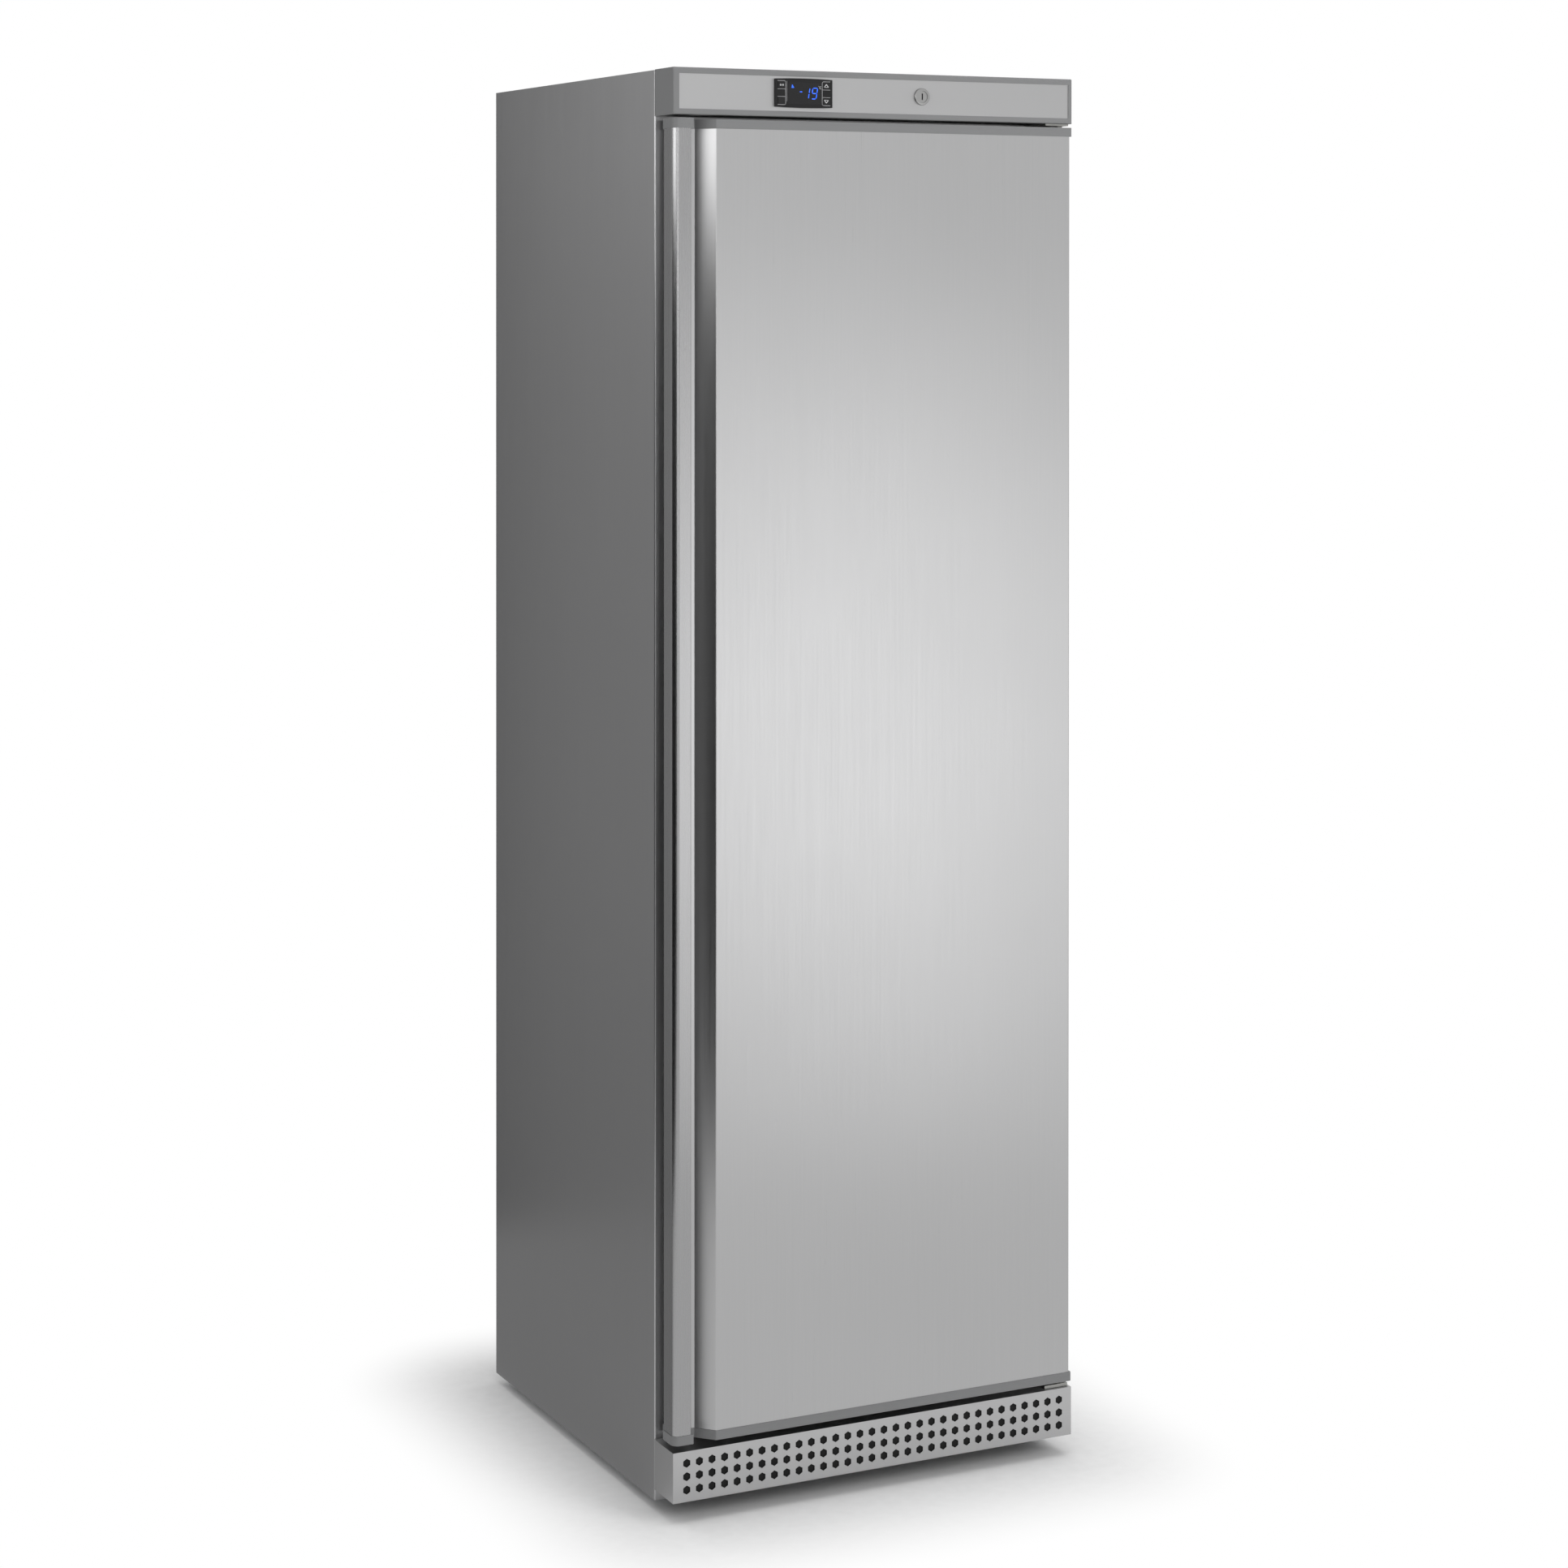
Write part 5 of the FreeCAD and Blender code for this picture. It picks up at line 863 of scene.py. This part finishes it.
SHELF_LEVELS = [404.0 + 262.0 * shelf for shelf in range(5)]  # axes of the tubes, mm
COIL_RADIUS, GRID_RADIUS = 0.004, 0.0016
GRID_COUNT, GRID_HALF, GRID_RISE = 12, 0.166, 3.9 + 1.5
coils, grids = [], []
for height in SHELF_LEVELS:
    flat_path = [(-224.0, 205.3), (-224.0, -177.5)]
    flat_path += arc_points((-208.0, -177.5), 16.0, math.pi, math.pi / 2, 6)
    flat_path += serpentine(-166.0, 166.0, -193.5, 88.0, 5)
    flat_path += arc_points((166.0, 174.5), 16.0, -math.pi / 2, math.pi / 2, 6)
    flat_path.append((182.0, 205.3))
    coils.append(round_tube([Vector((x / MM, y / MM, height / MM)) for x, y in flat_path], COIL_RADIUS, 14))
    level = (height + GRID_RISE) / MM
    for i in range(GRID_COUNT):
        across = GRID_HALF * (2 * i / (GRID_COUNT - 1) - 1)
        ends = [Vector((across, y, level)) for y in (-0.2034, -0.2032, 0.1683, 0.1685)]
        grids.append(round_tube(ends, GRID_RADIUS, 10, True))
coil_piece = piece("shelf_tubes", merged(coils), "cabinet", "shelf_white", 40)
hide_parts("evaporator_shelves")
grid_piece = piece("shelf_grids", merged(grids), "cabinet", "shelf_white", 40)
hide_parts("shelf_wires")

# ---------------------------------------------------------------- condenser and lines

CONDENSER_Y = 0.2725
CONDENSER_RADIUS, ROD_RADIUS = 0.0026, 0.0008
ROD_COUNT, ROD_HALF, ROD_SINK = 18, 0.1804, 0.0001  # the rods sink into the tubes as welded wires do
upright_path = serpentine(-183.0, 183.0, 374.0, 104.0, 12, 14)
condenser = round_tube([Vector((x / MM, CONDENSER_Y, z / MM)) for x, z in upright_path], CONDENSER_RADIUS)
condenser_piece = piece("condenser_tubes", merged([condenser]), "cabinet", "black_steel", 40)
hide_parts("condenser_coil")
rods = []
for side in (-1, 1):
    for i in range(ROD_COUNT):
        across = ROD_HALF * (2 * i / (ROD_COUNT - 1) - 1)
        depth = CONDENSER_Y + side * (CONDENSER_RADIUS + ROD_RADIUS - ROD_SINK)
        ends = [Vector((across, depth, z)) for z in (0.3621, 0.3623, 1.5297, 1.5299)]
        rods.append(round_tube(ends, ROD_RADIUS, 8, True))
rod_piece = piece("condenser_rods", merged(rods), "cabinet", "black_steel", 40)
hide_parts("condenser_wires")


def line(name, points, bend, radius, node):
    """A refrigerant line through points in mm."""
    path = rounded_path([(x / MM, y / MM, z / MM) for x, y, z in points], bend / MM)
    made = piece(name, round_tube(path, radius / MM, 16), "cabinet", "copper", 40)
    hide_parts(node)


line(
    "discharge_pipe",
    [
        (-110, 181.5, 212.5), (-110, 181.5, 246.1), (-110, 272.5, 246.1), (-249, 272.5, 246.1),
        (-249, 272.5, 1518), (-183, 272.5, 1518),
    ],
    14, 2.6, "discharge_tube",
)
line("suction_pipe", [(-60, 181.5, 212.5), (-60, 181.5, 246.1), (-60, 72.5, 246.1)], 24, 7, "suction_tube")
line(
    "liquid_pipe",
    [
        (120, 85.5, 195), (120, 85.5, 262.9), (120, 272.5, 262.9), (-205.4, 272.5, 262.9),
        (-205.4, 272.5, 374), (-183, 272.5, 374),
    ],
    14, 2.6, "liquid_tube",
)

# ---------------------------------------------------------------- compressor and drier

# the shell in mm: its axis, half its straight part and the radius of its ends
SHELL_X, SHELL_Y, SHELL_HALF, SHELL_RADIUS = -60, 181.5, 28, 70
SHELL_LOW, SHELL_HIGH = 54.5, 212.5
FOOT_IN, FOOT_RISE = 20, 16  # the lower rounding
DOME_IN, DOME_RISE = 44, 36  # the upper rounding
# the weld seam: (proud of the shell, above its foot)
SEAM = (
    (0.0, 84.5), (0.0, 87.6), (1.8, 88.0), (2.7, 88.6), (2.9, 89.8), (2.9, 90.4), (2.7, 91.4), (1.6, 92.0),
    (0.0, 92.6),
)


def stadium(radius, z, steps=16):
    """The shell's outline at one level: two half circles joined by straight sides."""
    ring = []
    for side, start in ((1, -math.pi / 2), (-1, math.pi / 2)):
        for k in range(steps + 1):
            turn = start + math.pi * k / steps
            x = SHELL_X + SHELL_HALF * side + radius * math.cos(turn)
            ring.append(Vector((x / MM, (SHELL_Y + radius * math.sin(turn)) / MM, z / MM)))
    return ring


shell_rings = []
for t in range(7):
    turn = math.pi / 2 * t / 6
    inset, rise = FOOT_IN * (1 - math.sin(turn)), FOOT_RISE * (1 - math.cos(turn))
    shell_rings.append(stadium(SHELL_RADIUS - inset, SHELL_LOW + rise))
shell_rings += [stadium(SHELL_RADIUS + proud, SHELL_LOW + rise) for proud, rise in SEAM]
for t in range(13):
    turn = math.pi / 2 * t / 12
    inset, drop = DOME_IN * (1 - math.cos(turn)), DOME_RISE * (1 - math.sin(turn))
    shell_rings.append(stadium(SHELL_RADIUS - inset, SHELL_HIGH - drop))
shell_bm = merged([swept(shell_rings)])
compressor = piece("compressor_dome", shell_bm, "cabinet", "black_steel", 28)
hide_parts("compressor")

DRIER_PROFILE = [
    (2.9, -57), (2.9, -46), (3.4, -44), (5.6, -41.5), (9.4, -38.5), (12.0, -35), (12.6, -31),
    (12.6, 31), (12.0, 35), (9.4, 38.5), (5.6, 41.5), (3.4, 44), (2.9, 46), (2.9, 57),
]
drier_bm = turned(DRIER_PROFILE, (0.120, 0.0855, 0.138), (0, 0, 1), 32)
drier = piece("drier_shell", drier_bm, "cabinet", "copper", 50)
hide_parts("filter_drier")

# ---------------------------------------------------------------- rollers and feet

CHASSIS_X = 0.2692  # rollers and feet from the middle, m
WHEEL_PROFILE = [
    (3.05, -8), (6.4, -8), (6.9, -7.4), (6.9, -5.6), (15.4, -5.6), (15.9, -6.6), (17.4, -8), (18.6, -7.8),
    (19.7, -6.6), (19.95, -4.8), (19.95, 4.8), (19.7, 6.6), (18.6, 7.8), (17.4, 8), (15.9, 6.6), (15.4, 5.6),
    (6.9, 5.6), (6.9, 7.4), (6.4, 8), (3.05, 8),
]
for side, name in ((-1, "roller_left"), (1, "roller_right")):
    wheel = ring_solid(WHEEL_PROFILE, (CHASSIS_X * side, 0.2525, 0.020), (1, 0, 0), 56)
    made = piece(name + "_wheel", wheel, name, "black_plastic", 35)
    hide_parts(name)

STUD_TOP, THREAD_PITCH = 42.6, 1.25
foot_profile = [(12.6, 0.0), (13.6, 0.5), (13.9, 1.4), (13.9, 6.4), (13.4, 7.4), (12.4, 8.0), (5.0, 8.0)]
place = 8.0
while place < STUD_TOP:
    foot_profile += [(5.0, place + 0.15), (4.45, place + 0.55), (4.45, place + 0.7), (5.0, place + 1.1)]
    place += THREAD_PITCH
foot_profile += [(4.9, 43.3), (4.2, 44.0)]
for side, name in ((-1, "levelling_foot_left"), (1, "levelling_foot_right")):
    foot = turned(foot_profile, (CHASSIS_X * side, -0.1805, 0.0), (0, 0, 1), 40)
    made = piece(name + "_threaded", foot, name, "black_plastic", 35)
    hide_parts(name)

# ---------------------------------------------------------------- lock

BARREL_PROFILE = [
    (7.75, 0.0), (8.1, 0.0), (8.6, 0.0), (9.7, 0.02), (10.5, 0.2), (11.0, 0.7), (11.18, 1.5), (11.18, 3.2),
    (9.3, 3.2), (9.3, 19.7), (7.75, 19.7),
]
barrel = ring_solid(BARREL_PROFILE, (0.0653, -0.2949, 1.8354), (0, 1, 0), 64)
housing = piece("lock_barrel", barrel, "cabinet", "lock_metal", 35)
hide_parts("lock_housing")

# ---------------------------------------------------------------- screws of the back panel

SCREW_PROFILE = [(3.2, 0.0), (3.2, 0.49), (2.752, 1.12), (1.6, 1.4), (1.088, 1.302), (0.64, 0.63)]
SCREW_Y, SCREW_TOP, SCREW_LOW = 255.5, 1840.0, 300.0
screw_places = [(x, z) for z in (330.0, 640.0, 950.0, 1260.0, 1570.0, SCREW_TOP) for x in (-286.0, 286.0)]
screw_places += [(x, SCREW_TOP) for x in (-190.0, -95.0, 0.0, 95.0, 190.0)]
screw_places += [(x, SCREW_LOW) for x in (-180.0, 0.0, 180.0)]
screws = [turned(SCREW_PROFILE, Vector((x, SCREW_Y, z)) / MM, (0, 1, 0), 20) for x, z in screw_places]
piece("back_screws", merged(screws), "cabinet", "bolt_steel", 40)
